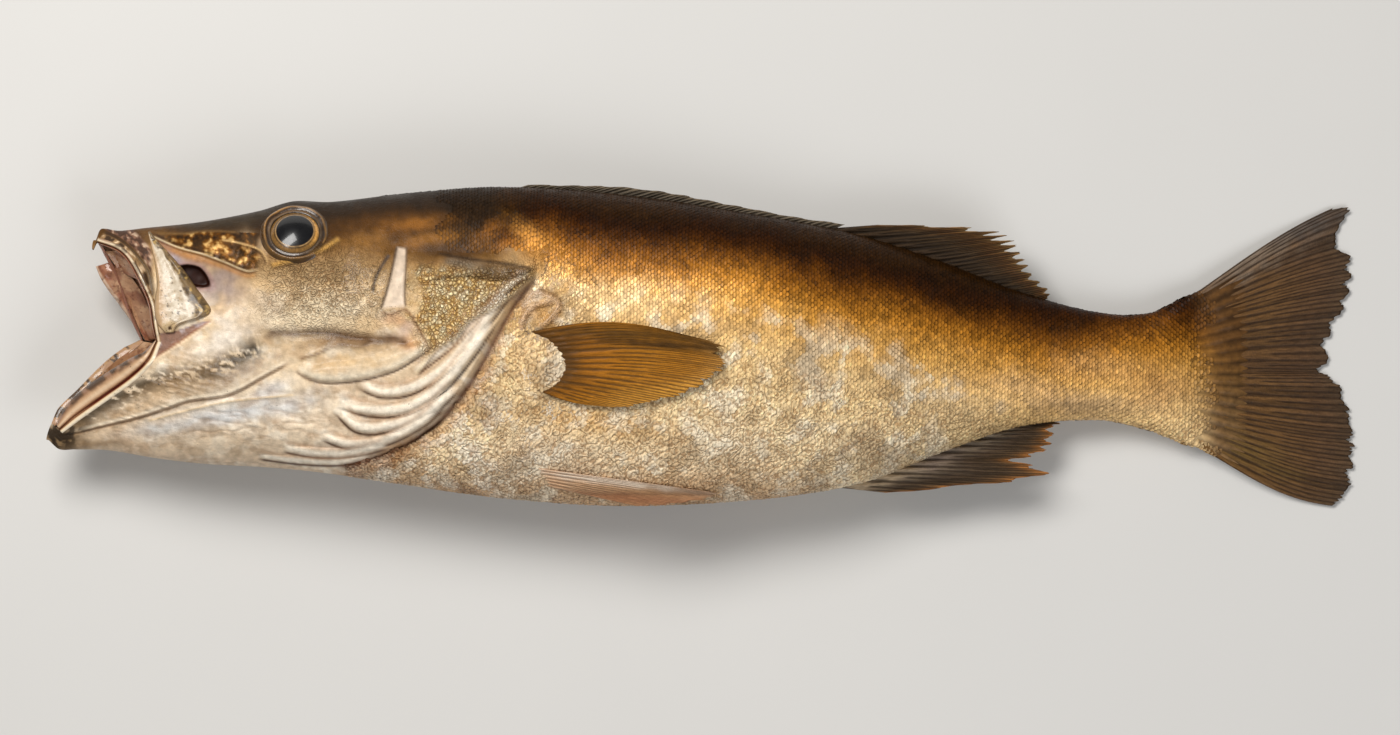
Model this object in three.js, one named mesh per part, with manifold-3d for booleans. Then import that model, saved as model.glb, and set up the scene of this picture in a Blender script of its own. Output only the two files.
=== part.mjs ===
// A whole raw Japanese sea bass, mouth gaping, lying on its right flank.
// Millimetres. X runs from the snout (-) to the tail (+), Y from the belly (-) to the back (+),
// Z up out of the table. The origin is on the table, under the middle of the fish.
// The head, trunk and fins are one grown body, so they are one solid; each eyeball is its own.
import * as THREE from "three";
import { mergeVertices } from "three/addons/utils/BufferGeometryUtils.js";
import Module from "manifold-3d";

const wasm = await Module();
wasm.setup();

// ---- Driving dimensions, mm ----

const TOTAL_LENGTH = 722; // chin to the tips of the tail fin
const CHIN_X = -362;
const FORK_X = 341; // bottom of the shallow fork in the tail fin
const TAIL_TIP_X = CHIN_X + TOTAL_LENGTH;
const JAW_FRONT = -348; // the first section, which leans between the two jaw tips
const BODY_END = 274; // where the flesh ends inside the root of the tail fin
const HEAD_END = -90; // rear end of the gill cover
const BODY_SECTIONS = 46;
const HEAD_SHARE = 0.58; // share of the sections that lies in the head, which has the finer forms
const RING_POINTS = 32;
const FINEST = 0.1; // forms smaller than this are smoothed away

// One row for each section of the trunk: its place, the height of back and belly,
// the half width, the height of the middle plane over the table and the squareness.
const SECTIONS = [
  [-348, 58, -52, 3, 36, 2.0],
  [-344, 63.5, -57, 6.5, 36, 2.0],
  [-338, 64.3, -57.2, 11, 36, 2.0],
  [-325, 63.2, -57.6, 18, 36, 2.1],
  [-305, 65, -61.5, 25, 37, 2.2],
  [-277, 68, -65, 29.5, 37.5, 2.4],
  [-245, 74, -66.8, 33, 38.5, 2.5],
  [-226, 79.3, -68.3, 35, 39, 2.5],
  [-205, 79, -70.7, 36.5, 39.5, 2.5],
  [-165, 83.5, -76.5, 40, 39.5, 2.4],
  [-112, 87, -83.8, 43, 39.5, 2.3],
  [-46, 82.8, -88, 44, 39.5, 2.2],
  [30, 71.5, -84.4, 41.5, 38, 2.15],
  [86, 60.5, -75.6, 34.5, 33, 2.1],
  [130, 46.5, -59, 27, 26.5, 2.1],
  [174, 29.5, -44.5, 19, 20, 2.1],
  [218, 18, -41, 14.5, 15, 2.1],
  [245, 17.5, -46.5, 12, 12.5, 2.1],
  [262, 25, -53, 8.5, 10.5, 2.1],
  [274, 31, -58, 4, 9, 2.0],
];

// How far the top and the bottom of a section lean forward of its place, over the jaws.
const LEAN = [
  [-348, 13, -13],
  [-325, 3, -4],
  [-305, 0, 0],
  [274, 0, 0],
];

// The hollow of the mouth: place, roof, floor and half width. It narrows to the throat.
const MOUTH = [
  [-345, 50, -42, 1],
  [-336, 52, -48, 6],
  [-322, 51, -51, 13],
  [-303, 46, -53, 18],
  [-277, 38, -53, 22],
  [-245, 26, -48, 22],
  [-218, 8, -32, 12],
];
const MOUTH_SECTIONS = 8;
const MOUTH_RING = 14;

// The gape seen from the side: on the left side the lips' outer edges, on the right side
// the far jaws, which reach further into the gape.
const GAPE_FRONT = -390;
const GAPE_DEPTH = 70; // more than half the thickness of the head
const LEFT_GAPE = [
  [GAPE_FRONT, 58], [-334, 58], [-322.5, 54], [-316, 48.5], [-309.5, 38], [-303, 24],
  [-300.5, 10], [-299, 2], [-304, -9], [-314, -18.5], [-329, -29], [-345, -40], [-354, -47],
  [GAPE_FRONT, -47],
];
const LEFT_CORNER = 7; // the point at the corner of the mouth
const RIGHT_GAPE = [
  [GAPE_FRONT, 56], [-334, 56], [-329.5, 50], [-325, 41.5], [-334.5, 43], [-330.5, 35],
  [-324, 26], [-319, 20], [-314.5, 12], [-310.5, 2.5], [-316, -2], [-325.5, -9],
  [-334, -17], [-343.5, -27], [-353, -36.5], [-359, -45], [GAPE_FRONT, -45],
];
const RIGHT_CORNER = 9;
const RIGHT_LIP_START = 4; // the tip of the far upper jaw

const EYE = { x: -224, y: 62, radius: 15.4, depth: 8, proud: 3.4 };
const EYE_TILT = THREE.MathUtils.degToRad(34); // the eyes look out and up
const EYE_GAP = 0.3;
const EYE_SIDES = 20;
const EYE_RIM = { radius: 2.6, sink: 0.4, sides: 6 }; // the raised ring round the eye

// Broad swells of the head: centre, reach along X and Y, and height.
const SWELLS = [
  { x: -224, y: 58, reachX: 26, reachY: 20, height: 9 }, // orbit
  { x: -185, y: 20, reachX: 34, reachY: 34, height: 2.5 }, // cheek
  { x: -272, y: -22, reachX: 40, reachY: 14, height: 3.5 }, // lower jaw
  { x: -235, y: -50, reachX: 50, reachY: 13, height: 4 }, // throat
  { x: -271, y: 33, reachX: 17, reachY: 13, height: -5 }, // hollow behind the upper jaw
  { x: -92, y: -12, reachX: 14, reachY: 20, height: 5 }, // root of the pectoral fin
];
const SWELL_FADE = 3; // how fast they fade out near the back and the belly

// The gill cover is a step that starts gently at its front and ends sharply at its edge.
const GILL_COVER = { rise: 5, front: -205, frontWidth: 40, edgeWidth: 5, top: 52, topWidth: 12 };

// The rear edge of the gill cover, from its point at the top to the throat.
const GILL_EDGE = [
  [-92, 39], [-96, 35], [-105, 23.5], [-115, 6], [-128, -17.5], [-143, -37], [-152, -45],
  [-168, -54.5], [-185, -61], [-204, -66],
];
const SLIT_RADIUS = 2.8;

// Creases of the head: under the lower jaw, and down the edge of the cheek.
const CREASES = [
  [[-345, -47.5], [-321, -41], [-293, -33.5], [-265, -27], [-239, -15.5], [-225, -8]],
  [[-167, 55], [-170, 37], [-173, 21], [-166, 9]],
];
const CREASE_RADIUS = 1.7;

// The folded gill membrane under the gill cover: the crest of each fold.
const GILL_FOLDS = [
  [[-158, -17], [-135, 1], [-117.5, 18.5], [-105, 31], [-94, 39]],
  [[-192, -22], [-176, -28.5], [-158, -26], [-139, -14], [-120, 8], [-104, 30]],
  [[-203, -33], [-184, -38.5], [-163, -38], [-145, -28], [-127, -8], [-112, 14]],
  [[-203, -36], [-190, -47], [-170, -46.5], [-150, -39], [-133, -24]],
  [[-211, -51], [-194, -57], [-174, -54.5], [-153, -44]],
  [[-238, -60.5], [-215, -64.5], [-192, -62]],
];
const FOLD_RADIUS = 3.2;
const FOLD_SINK = 1.2; // how far the middle of a fold lies under the skin

// The free lower hem of the gill cover, behind the joint of the jaws.
const COVER_HEM = [[-225, -13], [-212, -19.5], [-192, -19.5], [-170, -14], [-156, -6]];

// The bony plate of the upper jaw that hangs over the corner of the mouth.
const JAW_PLATE = [
  [-303.5, 60], [-304, 55], [-301, 41.5], [-300.5, 14], [-294, 6.5], [-288.5, 10.5],
  [-273, 16], [-271, 20], [-284.5, 40], [-297.5, 55.5],
];
const JAW_PLATE_THICKNESS = 3.5;
const JAW_PLATE_BEVEL = 1;
const JAW_PLATE_TOP = 58; // over this the plate goes straight on, into the snout

// A lip's middle lies this far behind the edge of the gape.
const LIP_RADIUS = 2.6;
const UPPER_LIP = [2, 1.2];
const LOWER_LIP = [1.6, -2];
const BAR_SIDES = 5;

// ---- Curves and numbers ----

// Smooth curve through the rows of a table, whose first column is the place.
function along(table, column, at) {
  const last = table.length - 1;
  if (at <= table[0][0]) return table[0][column];
  if (at >= table[last][0]) return table[last][column];
  const i = table.findIndex((row) => row[0] > at) - 1;
  const slope = (k) => {
    const a = table[Math.max(k - 1, 0)];
    const b = table[Math.min(k + 1, last)];
    return (b[column] - a[column]) / (b[0] - a[0]);
  };
  const span = table[i + 1][0] - table[i][0];
  const t = (at - table[i][0]) / span;
  const s = 1 - t;
  return (
    table[i][column] * s * s * (1 + 2 * t) +
    table[i + 1][column] * t * t * (1 + 2 * s) +
    slope(i) * span * t * s * s -
    slope(i + 1) * span * t * t * s
  );
}

const mix = THREE.MathUtils.lerp;
const rise = (value, width) => THREE.MathUtils.smoothstep(value, 0, width);

function section(at) {
  return {
    topX: at + along(LEAN, 1, at),
    bottomX: at + along(LEAN, 2, at),
    top: along(SECTIONS, 1, at),
    bottom: along(SECTIONS, 2, at),
    half: along(SECTIONS, 3, at),
    middle: along(SECTIONS, 4, at),
    square: along(SECTIONS, 5, at),
  };
}

// The section that passes through a point of the side view, found by halving.
function sectionThrough(x, y) {
  let low = JAW_FRONT;
  let high = BODY_END;
  for (let i = 0; i < 24; i++) {
    const at = (low + high) / 2;
    const s = section(at);
    const share = (s.top - y) / (s.top - s.bottom);
    if (mix(s.topX, s.bottomX, share) < x) low = at;
    else high = at;
  }
  return section(low);
}

// Height of the flank over the middle plane for a share across the section, -1 to 1.
function flank(s, across) {
  return s.half * (1 - Math.abs(across) ** s.square) ** (1 / s.square);
}

// How far the head's forms stand out of the plain flank.
function relief(x, y) {
  let out = 0;
  for (const swell of SWELLS) {
    const distance = ((x - swell.x) / swell.reachX) ** 2 + ((y - swell.y) / swell.reachY) ** 2;
    out += swell.height * Math.exp(-distance);
  }
  const cover =
    rise(gillEdgeAt(y) - x, GILL_COVER.edgeWidth) *
    rise(x - GILL_COVER.front, GILL_COVER.frontWidth) *
    rise(GILL_COVER.top - y, GILL_COVER.topWidth);
  return out + GILL_COVER.rise * cover;
}

// How far the skin stands out of the middle plane, with the forms of the head on it.
function standOut(s, across, x, y) {
  return flank(s, across) + relief(x, y) * Math.min(1, SWELL_FADE * (1 - Math.abs(across)));
}

// Where the gill cover ends at a height, for the heights that its edge spans.
function gillEdgeAt(y) {
  const rows = GILL_EDGE.map(([x, height]) => [-height, x]);
  return along(rows, 1, -y);
}

// A point on the skin over a place of the side view. Side 1 is the left, upper flank,
// and -1 the right one, which the table flattens.
function skin(x, y, side, lift = 0) {
  const s = sectionThrough(x, y);
  const centre = (s.top + s.bottom) / 2;
  const across = THREE.MathUtils.clamp((y - centre) / ((s.top - s.bottom) / 2), -1, 1);
  const out = standOut(s, across, x, y) + lift;
  return new THREE.Vector3(x, y, Math.max(0, s.middle + side * out));
}

// ---- Geometry ----

function geometryOf(points, faces) {
  const geometry = new THREE.BufferGeometry().setFromPoints(points);
  geometry.setIndex(faces);
  return geometry;
}

// A closed skin over rings of points, each ring with its end filled by a fan.
function loft(rings) {
  const points = rings.flat();
  const n = rings[0].length;
  const faces = [];
  for (let i = 0; i + 1 < rings.length; i++) {
    for (let j = 0; j < n; j++) {
      const a = i * n + j;
      const b = i * n + ((j + 1) % n);
      faces.push(a, a + n, b, b, a + n, b + n);
    }
  }
  for (const [ring, turn] of [[0, 1], [rings.length - 1, -1]]) {
    const centre = new THREE.Vector3();
    rings[ring].forEach((p) => centre.addScaledVector(p, 1 / n));
    points.push(centre);
    for (let j = 0; j < n; j++) {
      const edge = [ring * n + j, ring * n + ((j + 1) % n)];
      if (turn < 0) edge.reverse();
      faces.push(points.length - 1, ...edge);
    }
  }
  return geometryOf(points, faces);
}

// A thin plate between a lower and an upper face, both grids of columns by rows.
function plate(columns, rows, pointAt) {
  const points = [];
  for (const side of [1, -1]) {
    for (let i = 0; i <= columns; i++) {
      for (let j = 0; j <= rows; j++) points.push(pointAt(i / columns, j / rows, side, i));
    }
  }
  const faces = [];
  const at = (i, j, lower) => lower * (columns + 1) * (rows + 1) + i * (rows + 1) + j;
  const quad = (a, b, c, d) => faces.push(a, b, c, a, c, d);
  for (let i = 0; i < columns; i++) {
    for (let j = 0; j < rows; j++) {
      quad(at(i, j, 0), at(i, j + 1, 0), at(i + 1, j + 1, 0), at(i + 1, j, 0));
      quad(at(i, j, 1), at(i + 1, j, 1), at(i + 1, j + 1, 1), at(i, j + 1, 1));
    }
  }
  for (let i = 0; i < columns; i++) {
    quad(at(i, 0, 0), at(i + 1, 0, 0), at(i + 1, 0, 1), at(i, 0, 1));
    quad(at(i, rows, 0), at(i, rows, 1), at(i + 1, rows, 1), at(i + 1, rows, 0));
  }
  for (let j = 0; j < rows; j++) {
    quad(at(0, j, 0), at(0, j, 1), at(0, j + 1, 1), at(0, j + 1, 0));
    quad(at(columns, j, 0), at(columns, j + 1, 0), at(columns, j + 1, 1), at(columns, j, 1));
  }
  return geometryOf(points, faces);
}

// A round bar along a path.
function bar(path, radius, steps) {
  const outline = [];
  for (let i = 0; i < BAR_SIDES; i++) {
    const turn = (2 * Math.PI * i) / BAR_SIDES;
    outline.push(new THREE.Vector2(radius * Math.cos(turn), radius * Math.sin(turn)));
  }
  return new THREE.ExtrudeGeometry(new THREE.Shape(outline), {
    steps,
    extrudePath: new THREE.CatmullRomCurve3(path),
  });
}

// ---- Solids ----

function solidOf(geometry) {
  const bare = geometry.index ? geometry.toNonIndexed() : geometry.clone();
  bare.deleteAttribute("normal");
  bare.deleteAttribute("uv");
  const merged = mergeVertices(bare, 1e-4);
  const made = new wasm.Manifold(
    new wasm.Mesh({
      numProp: 3,
      vertProperties: merged.attributes.position.array,
      triVerts: new Uint32Array(merged.index.array),
    }),
  );
  return made.volume() > 0 ? made : solidOf(turnedOut(merged));
}

function turnedOut(geometry) {
  const index = geometry.index.array;
  const turned = [];
  for (let i = 0; i < index.length; i += 3) turned.push(index[i], index[i + 2], index[i + 1]);
  return geometry.clone().setIndex(turned);
}

function geometryFrom(solid) {
  const mesh = solid.getMesh();
  const geometry = new THREE.BufferGeometry();
  geometry.setAttribute("position", new THREE.BufferAttribute(mesh.vertProperties, 3));
  geometry.setIndex(new THREE.BufferAttribute(mesh.triVerts, 1));
  geometry.computeVertexNormals();
  return geometry;
}

// Places of the trunk's sections: closer together in the head.
function sectionPlace(i) {
  const share = i / (BODY_SECTIONS - 1);
  return share < HEAD_SHARE
    ? mix(JAW_FRONT, HEAD_END, share / HEAD_SHARE)
    : mix(HEAD_END, BODY_END, (share - HEAD_SHARE) / (1 - HEAD_SHARE));
}

function trunk() {
  const rings = [];
  for (let i = 0; i < BODY_SECTIONS; i++) {
    const s = section(sectionPlace(i));
    const ring = [];
    for (let j = 0; j < RING_POINTS; j++) {
      const turn = (2 * Math.PI * j) / RING_POINTS;
      const across = Math.sign(Math.cos(turn)) * Math.abs(Math.cos(turn)) ** (2 / s.square);
      const side = Math.sign(Math.round(1e6 * Math.sin(turn)));
      const share = (1 - across) / 2;
      const x = mix(s.topX, s.bottomX, share);
      const y = mix(s.top, s.bottom, share);
      const z = s.middle + side * standOut(s, across, x, y);
      ring.push(new THREE.Vector3(x, y, Math.max(0, z)));
    }
    rings.push(ring);
  }
  return solidOf(loft(rings));
}

function mouthHollow() {
  const rings = [];
  const last = MOUTH.length - 1;
  for (let i = 0; i < MOUTH_SECTIONS; i++) {
    const at = mix(MOUTH[0][0], MOUTH[last][0], i / (MOUTH_SECTIONS - 1));
    const s = section(at);
    const roof = along(MOUTH, 1, at);
    const floor = along(MOUTH, 2, at);
    const half = along(MOUTH, 3, at);
    const ring = [];
    for (let j = 0; j < MOUTH_RING; j++) {
      const turn = (2 * Math.PI * j) / MOUTH_RING;
      const share = (1 - Math.cos(turn)) / 2;
      const x = mix(s.topX, s.bottomX, share);
      ring.push(new THREE.Vector3(x, mix(roof, floor, share), s.middle + half * Math.sin(turn)));
    }
    rings.push(ring);
  }
  return solidOf(loft(rings));
}

// The gape on one side: its outline driven through that half of the head.
function gape(outline, side) {
  const shape = new THREE.Shape(outline.map(([x, y]) => new THREE.Vector2(x, y)));
  const geometry = new THREE.ExtrudeGeometry(shape, { depth: GAPE_DEPTH, bevelEnabled: false });
  geometry.translate(0, 0, section(JAW_FRONT).middle - (side < 0 ? GAPE_DEPTH : 0));
  return solidOf(geometry);
}

function onSkin(outline, side, lift) {
  return outline.map(([x, y]) => skin(x, y, side, lift));
}

// The lips: a rounded bead along the outer edge of each jaw.
function lips(side) {
  const outline = side > 0 ? LEFT_GAPE : RIGHT_GAPE;
  const corner = side > 0 ? LEFT_CORNER : RIGHT_CORNER;
  const start = side > 0 ? 1 : RIGHT_LIP_START;
  const moved = (path, [right, up]) => path.map(([x, y]) => [x + right, y + up]);
  const upper = moved(outline.slice(start, corner), UPPER_LIP);
  const lower = moved(outline.slice(corner + 1, -1), LOWER_LIP);
  return [upper, lower].map((path) =>
    solidOf(bar(onSkin(path, side, -LIP_RADIUS), LIP_RADIUS, path.length + 1)),
  );
}

function jawPlate(side) {
  const shape = new THREE.Shape(JAW_PLATE.map(([x, y]) => new THREE.Vector2(x, y)));
  const geometry = new THREE.ExtrudeGeometry(shape, {
    depth: JAW_PLATE_THICKNESS,
    bevelThickness: JAW_PLATE_BEVEL,
    bevelSize: JAW_PLATE_BEVEL,
    bevelSegments: 1,
  });
  const places = geometry.attributes.position;
  for (let i = 0; i < places.count; i++) {
    const on = skin(places.getX(i), Math.min(places.getY(i), JAW_PLATE_TOP), side);
    places.setZ(i, on.z + side * (places.getZ(i) - JAW_PLATE_BEVEL));
  }
  return solidOf(geometry);
}

function gillFolds(side) {
  return [...GILL_FOLDS, COVER_HEM].map((fold) =>
    solidOf(bar(onSkin(fold, side, -FOLD_SINK), FOLD_RADIUS, fold.length + 1)),
  );
}

function gillSlit(side) {
  return solidOf(bar(onSkin(GILL_EDGE, side, 0), SLIT_RADIUS, GILL_EDGE.length + 2));
}

function creases(side) {
  return CREASES.map((path) =>
    solidOf(bar(onSkin(path, side, 0), CREASE_RADIUS, path.length + 1)),
  );
}

// ---- Eyes ----

// Turns a shape built round +Z to look the way an eye does, and puts it at a depth.
function placeAtEye(geometry, side, depth) {
  const look = new THREE.Vector3(0, Math.sin(EYE_TILT), side * Math.cos(EYE_TILT));
  const place = skin(EYE.x, EYE.y, side).addScaledVector(look, -depth);
  return geometry.rotateX(-side * EYE_TILT).translate(place.x, place.y, place.z);
}

// A ball flattened to a lens, mostly sunk in the head.
function eyeball(side, grow) {
  const geometry = new THREE.SphereGeometry(1, EYE_SIDES, EYE_SIDES / 2).rotateX(Math.PI / 2);
  geometry.scale(EYE.radius + grow, EYE.radius + grow, EYE.depth + grow);
  return placeAtEye(geometry, side, EYE.depth - EYE.proud);
}

function eyeRim(side) {
  const profile = [];
  for (let i = 0; i <= EYE_RIM.sides; i++) {
    const turn = (2 * Math.PI * i) / EYE_RIM.sides;
    const out = EYE.radius + EYE_RIM.radius * Math.cos(turn);
    profile.push(new THREE.Vector2(out, EYE_RIM.radius * Math.sin(turn)));
  }
  const geometry = new THREE.LatheGeometry(profile, EYE_SIDES).rotateX(Math.PI / 2);
  return solidOf(placeAtEye(geometry, side, EYE_RIM.sink));
}

// ---- Fins ----

const STRAIGHT = [[0, 0], [1, 0]];
const FIN_DROOP = 3; // how far the tips of the fins on back and belly sag
const TAIL_DROOP = { root: 10, tip: 1.6, start: 262, length: 85 }; // heights over the table
const LYING_FIN = { root: -3, shelf: 2.6, tip: 2, start: 0.3 }; // lift of the left pectoral fin
const PRESSED_FIN = { least: 1.4, sink: 2.2, drop: 4, dropAt: -60, dropWidth: 15 };
const BELLY_FIN = { root: -1.5, shelf: 1.6, start: 0.2, lowest: -82 };

// A fin is a fan of rays with thinner skin between them. Its base and tips are tables of
// [share across the fan, x, y]. Bow is a table of how far the rays bend, and sheet gives
// the height of the fin's middle.
function fin({ rays, steps, base, tips, bow, notch, thick, thin, sheet }) {
  const columns = 2 * rays;
  return solidOf(
    plate(columns, steps, (u, v, side, column) => {
      const ray = column % 2 === 1;
      const reach = ray ? v : v * (1 - notch);
      const point = finPoint({ base, tips, bow }, u, reach);
      const half = 0.5 * mix(ray ? thick : thin, 0.5 * thin, v);
      return new THREE.Vector3(point.x, point.y, sheet(point.x, point.y, u, v) + side * half);
    }),
  );
}

function finPoint({ base, tips, bow }, u, v) {
  const bent = v + along(bow, 1, u) * v * Math.sin(Math.PI * v);
  return {
    x: mix(along(base, 1, u), along(tips, 1, u), v),
    y: mix(along(base, 2, u), along(tips, 2, u), bent),
  };
}

const middleAt = (x) => section(x).middle;

function tailFin() {
  return fin({
    rays: 15,
    steps: 5,
    base: [[0, 250, 15], [0.3, 254, 6], [0.7, 254, -30], [1, 252, -45]],
    tips: [
      [0, 352, 78], [0.05, 359, 74.5], [0.1, 350, 58], [0.16, 359, 49], [0.3, 356, 25],
      [0.42, 346, 2], [0.47, 346.5, -9], [0.51, FORK_X, -14], [0.56, 351, -18.5],
      [0.7, TAIL_TIP_X, -44], [0.82, TAIL_TIP_X, -62], [0.93, 358, -80], [1, 350, -89],
    ],
    bow: [[0, 0.1], [1, 0.25]],
    notch: 0.03,
    thick: 2.6,
    thin: 1.2,
    sheet: (x) =>
      mix(TAIL_DROOP.root, TAIL_DROOP.tip, rise(x - TAIL_DROOP.start, TAIL_DROOP.length)),
  });
}

function softDorsalFin() {
  return fin({
    rays: 12,
    steps: 3,
    base: [[0, 62, 64], [1, 180, 22]],
    tips: [
      [0, 102, 67], [0.12, 152, 65], [0.3, 169, 59.5], [0.45, 174, 54.5], [0.6, 178, 46.5],
      [0.75, 182, 38.5], [0.9, 190, 31], [1, 191, 26.5],
    ],
    bow: STRAIGHT,
    notch: 0.14,
    thick: 3,
    thin: 1.4,
    sheet: (x, y, u, v) => middleAt(mix(62, 180, u)) - FIN_DROOP * v,
  });
}

// The first dorsal fin, shut: its spines lie back in a low ridge along the back.
function spinyDorsalFin() {
  return fin({
    rays: 11,
    steps: 2,
    base: [[0, -118, 82], [0.35, -60, 79], [0.7, 2, 70], [1, 62, 60]],
    tips: [[0, -96, 88.7], [0.35, -36, 86.5], [0.7, 22, 76.2], [0.85, 52, 70.5], [1, 78, 67]],
    bow: STRAIGHT,
    notch: 0.12,
    thick: 6,
    thin: 3,
    sheet: middleAt,
  });
}

function analFin() {
  return fin({
    rays: 9,
    steps: 3,
    base: [[0, 71, -78], [0.25, 98, -68], [1, 180, -40]],
    tips: [
      [0, 103, -81.5], [0.12, 152, -77], [0.2, 181, -74], [0.28, 191.5, -69], [0.38, 174, -63.5],
      [0.5, 187, -60], [0.68, 193, -52.5], [0.84, 193, -45], [1, 198.5, -43],
    ],
    bow: STRAIGHT,
    notch: 0.1,
    thick: 3,
    thin: 1.4,
    sheet: (x, y, u, v) => middleAt(mix(78, 180, u)) - FIN_DROOP * v,
  });
}

// The left pectoral fin lies on the flank, lifted a little off it.
function leftPectoralFin() {
  return fin({
    rays: 12,
    steps: 4,
    base: [[0, -101, 2], [0.4, -94, -6], [1, -91, -25]],
    tips: [
      [0, 7, 2.5], [0.15, 12, -2], [0.35, 13.5, -9], [0.55, 3, -17.5], [0.75, -15, -26],
      [0.9, -36, -30.5], [1, -54, -33],
    ],
    bow: STRAIGHT,
    notch: 0.03,
    thick: 2,
    thin: 1.1,
    sheet: (x, y, u, v) =>
      skin(x, y, 1).z +
      mix(LYING_FIN.root, LYING_FIN.shelf, rise(v, LYING_FIN.start)) +
      LYING_FIN.tip * v,
  });
}

// The right pectoral fin is pressed under the flank and shows beyond its flat.
function rightPectoralFin() {
  return fin({
    rays: 6,
    steps: 3,
    base: [[0, -96, -14], [1, -88, -36]],
    tips: [[0, -4, -66], [0.3, -8, -74], [0.6, -22, -78], [1, -42, -76]],
    bow: STRAIGHT,
    notch: 0.03,
    thick: 2,
    thin: 1.1,
    sheet: (x, y) => {
      const drop = PRESSED_FIN.drop * rise(PRESSED_FIN.dropAt - y, PRESSED_FIN.dropWidth);
      return Math.max(PRESSED_FIN.least, skin(x, y, -1).z - PRESSED_FIN.sink - drop);
    },
  });
}

// The pelvic fins lie shut along the belly.
function pelvicFin(side) {
  return fin({
    rays: 5,
    steps: 4,
    base: [[0, -98, -66], [1, -88, -77]],
    tips: [[0, 9, -81], [0.4, 2, -84.5], [0.75, -20, -87.5], [1, -36, -88.5]],
    bow: STRAIGHT,
    notch: 0.02,
    thick: 3,
    thin: 2,
    sheet: (x, y, u, v) =>
      skin(x, Math.max(y, BELLY_FIN.lowest), side).z +
      side * mix(BELLY_FIN.root, BELLY_FIN.shelf, rise(v, BELLY_FIN.start)),
  });
}

// ---- The fish ----

function wholeFish() {
  const mouth = [mouthHollow(), gape(LEFT_GAPE, 1), gape(RIGHT_GAPE, -1)];
  const grown = [tailFin(), softDorsalFin(), spinyDorsalFin(), analFin()];
  grown.push(leftPectoralFin(), rightPectoralFin());
  const cut = [];
  for (const side of [1, -1]) {
    grown.push(pelvicFin(side), eyeRim(side), ...gillFolds(side), jawPlate(side), ...lips(side));
    cut.push(gillSlit(side), ...creases(side), solidOf(eyeball(side, EYE_GAP)));
  }
  const without = (solid, piece) => solid.subtract(piece);
  let fish = mouth.reduce(without, trunk());
  fish = grown.reduce((solid, piece) => solid.add(piece), fish);
  fish = cut.reduce(without, fish);
  return largestOf(fish.trimByPlane([0, 0, 1], 0).simplify(FINEST));
}

// The fish without the crumbs that a cut can leave beside it.
function largestOf(solid) {
  return solid.decompose().reduce((a, b) => (a.volume() > b.volume() ? a : b));
}

const skinMaterial = new THREE.MeshStandardMaterial({
  color: new THREE.Color(0.62, 0.46, 0.25),
  roughness: 0.42,
  metalness: 0.15,
});
const eyeMaterial = new THREE.MeshStandardMaterial({
  color: new THREE.Color(0.05, 0.05, 0.05),
  roughness: 0.08,
  metalness: 0,
});

function named(name, geometry, material) {
  const mesh = new THREE.Mesh(geometry, material);
  mesh.name = name;
  return mesh;
}

const seaBass = new THREE.Group();
seaBass.add(named("fish", geometryFrom(wholeFish()), skinMaterial));
for (const [name, side] of [["eye_left", 1], ["eye_right", -1]]) {
  seaBass.add(named(name, eyeball(side, 0), eyeMaterial));
}

export default seaBass;
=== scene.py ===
"""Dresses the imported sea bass: skin, scales, fins, mouth and eyes, on a pale floor.

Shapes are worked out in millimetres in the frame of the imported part: X from the snout to
the tail, Y from the belly to the back, Z up out of the left flank, which is the one shown.
"""

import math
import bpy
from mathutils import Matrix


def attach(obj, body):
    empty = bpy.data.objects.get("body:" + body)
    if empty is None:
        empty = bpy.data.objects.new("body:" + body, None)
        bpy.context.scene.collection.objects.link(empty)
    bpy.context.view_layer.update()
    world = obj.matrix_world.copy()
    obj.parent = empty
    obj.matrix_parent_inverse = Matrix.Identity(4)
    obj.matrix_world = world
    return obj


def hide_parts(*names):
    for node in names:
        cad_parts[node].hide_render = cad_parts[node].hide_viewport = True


bl_info = {
    "name": "Whole sea bass",
    "version": (1, 0, 0),
    "blender": (4, 5, 0),
    "location": "View3D > Sidebar > Sea bass",
    "description": "Skin, scales, fins, mouth and eyes of a sea bass that lies on its side",
    "category": "Object",
}

from collections import namedtuple

import bmesh
import bpy
import mathutils
import numpy as np
from bpy.props import FloatProperty, FloatVectorProperty, PointerProperty

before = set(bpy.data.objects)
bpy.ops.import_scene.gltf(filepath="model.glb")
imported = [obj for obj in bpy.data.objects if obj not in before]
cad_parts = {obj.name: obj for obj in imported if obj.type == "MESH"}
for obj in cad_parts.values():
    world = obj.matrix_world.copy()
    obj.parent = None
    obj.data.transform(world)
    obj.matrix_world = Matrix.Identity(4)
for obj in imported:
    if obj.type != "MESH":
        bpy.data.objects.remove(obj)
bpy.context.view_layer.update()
MM = 0.001
FAR = 1e6
TABLE = 256
HALVINGS = 22
LEFT, RIGHT = 1, -1

# ---- Measures of the fish, mm ----

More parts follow.
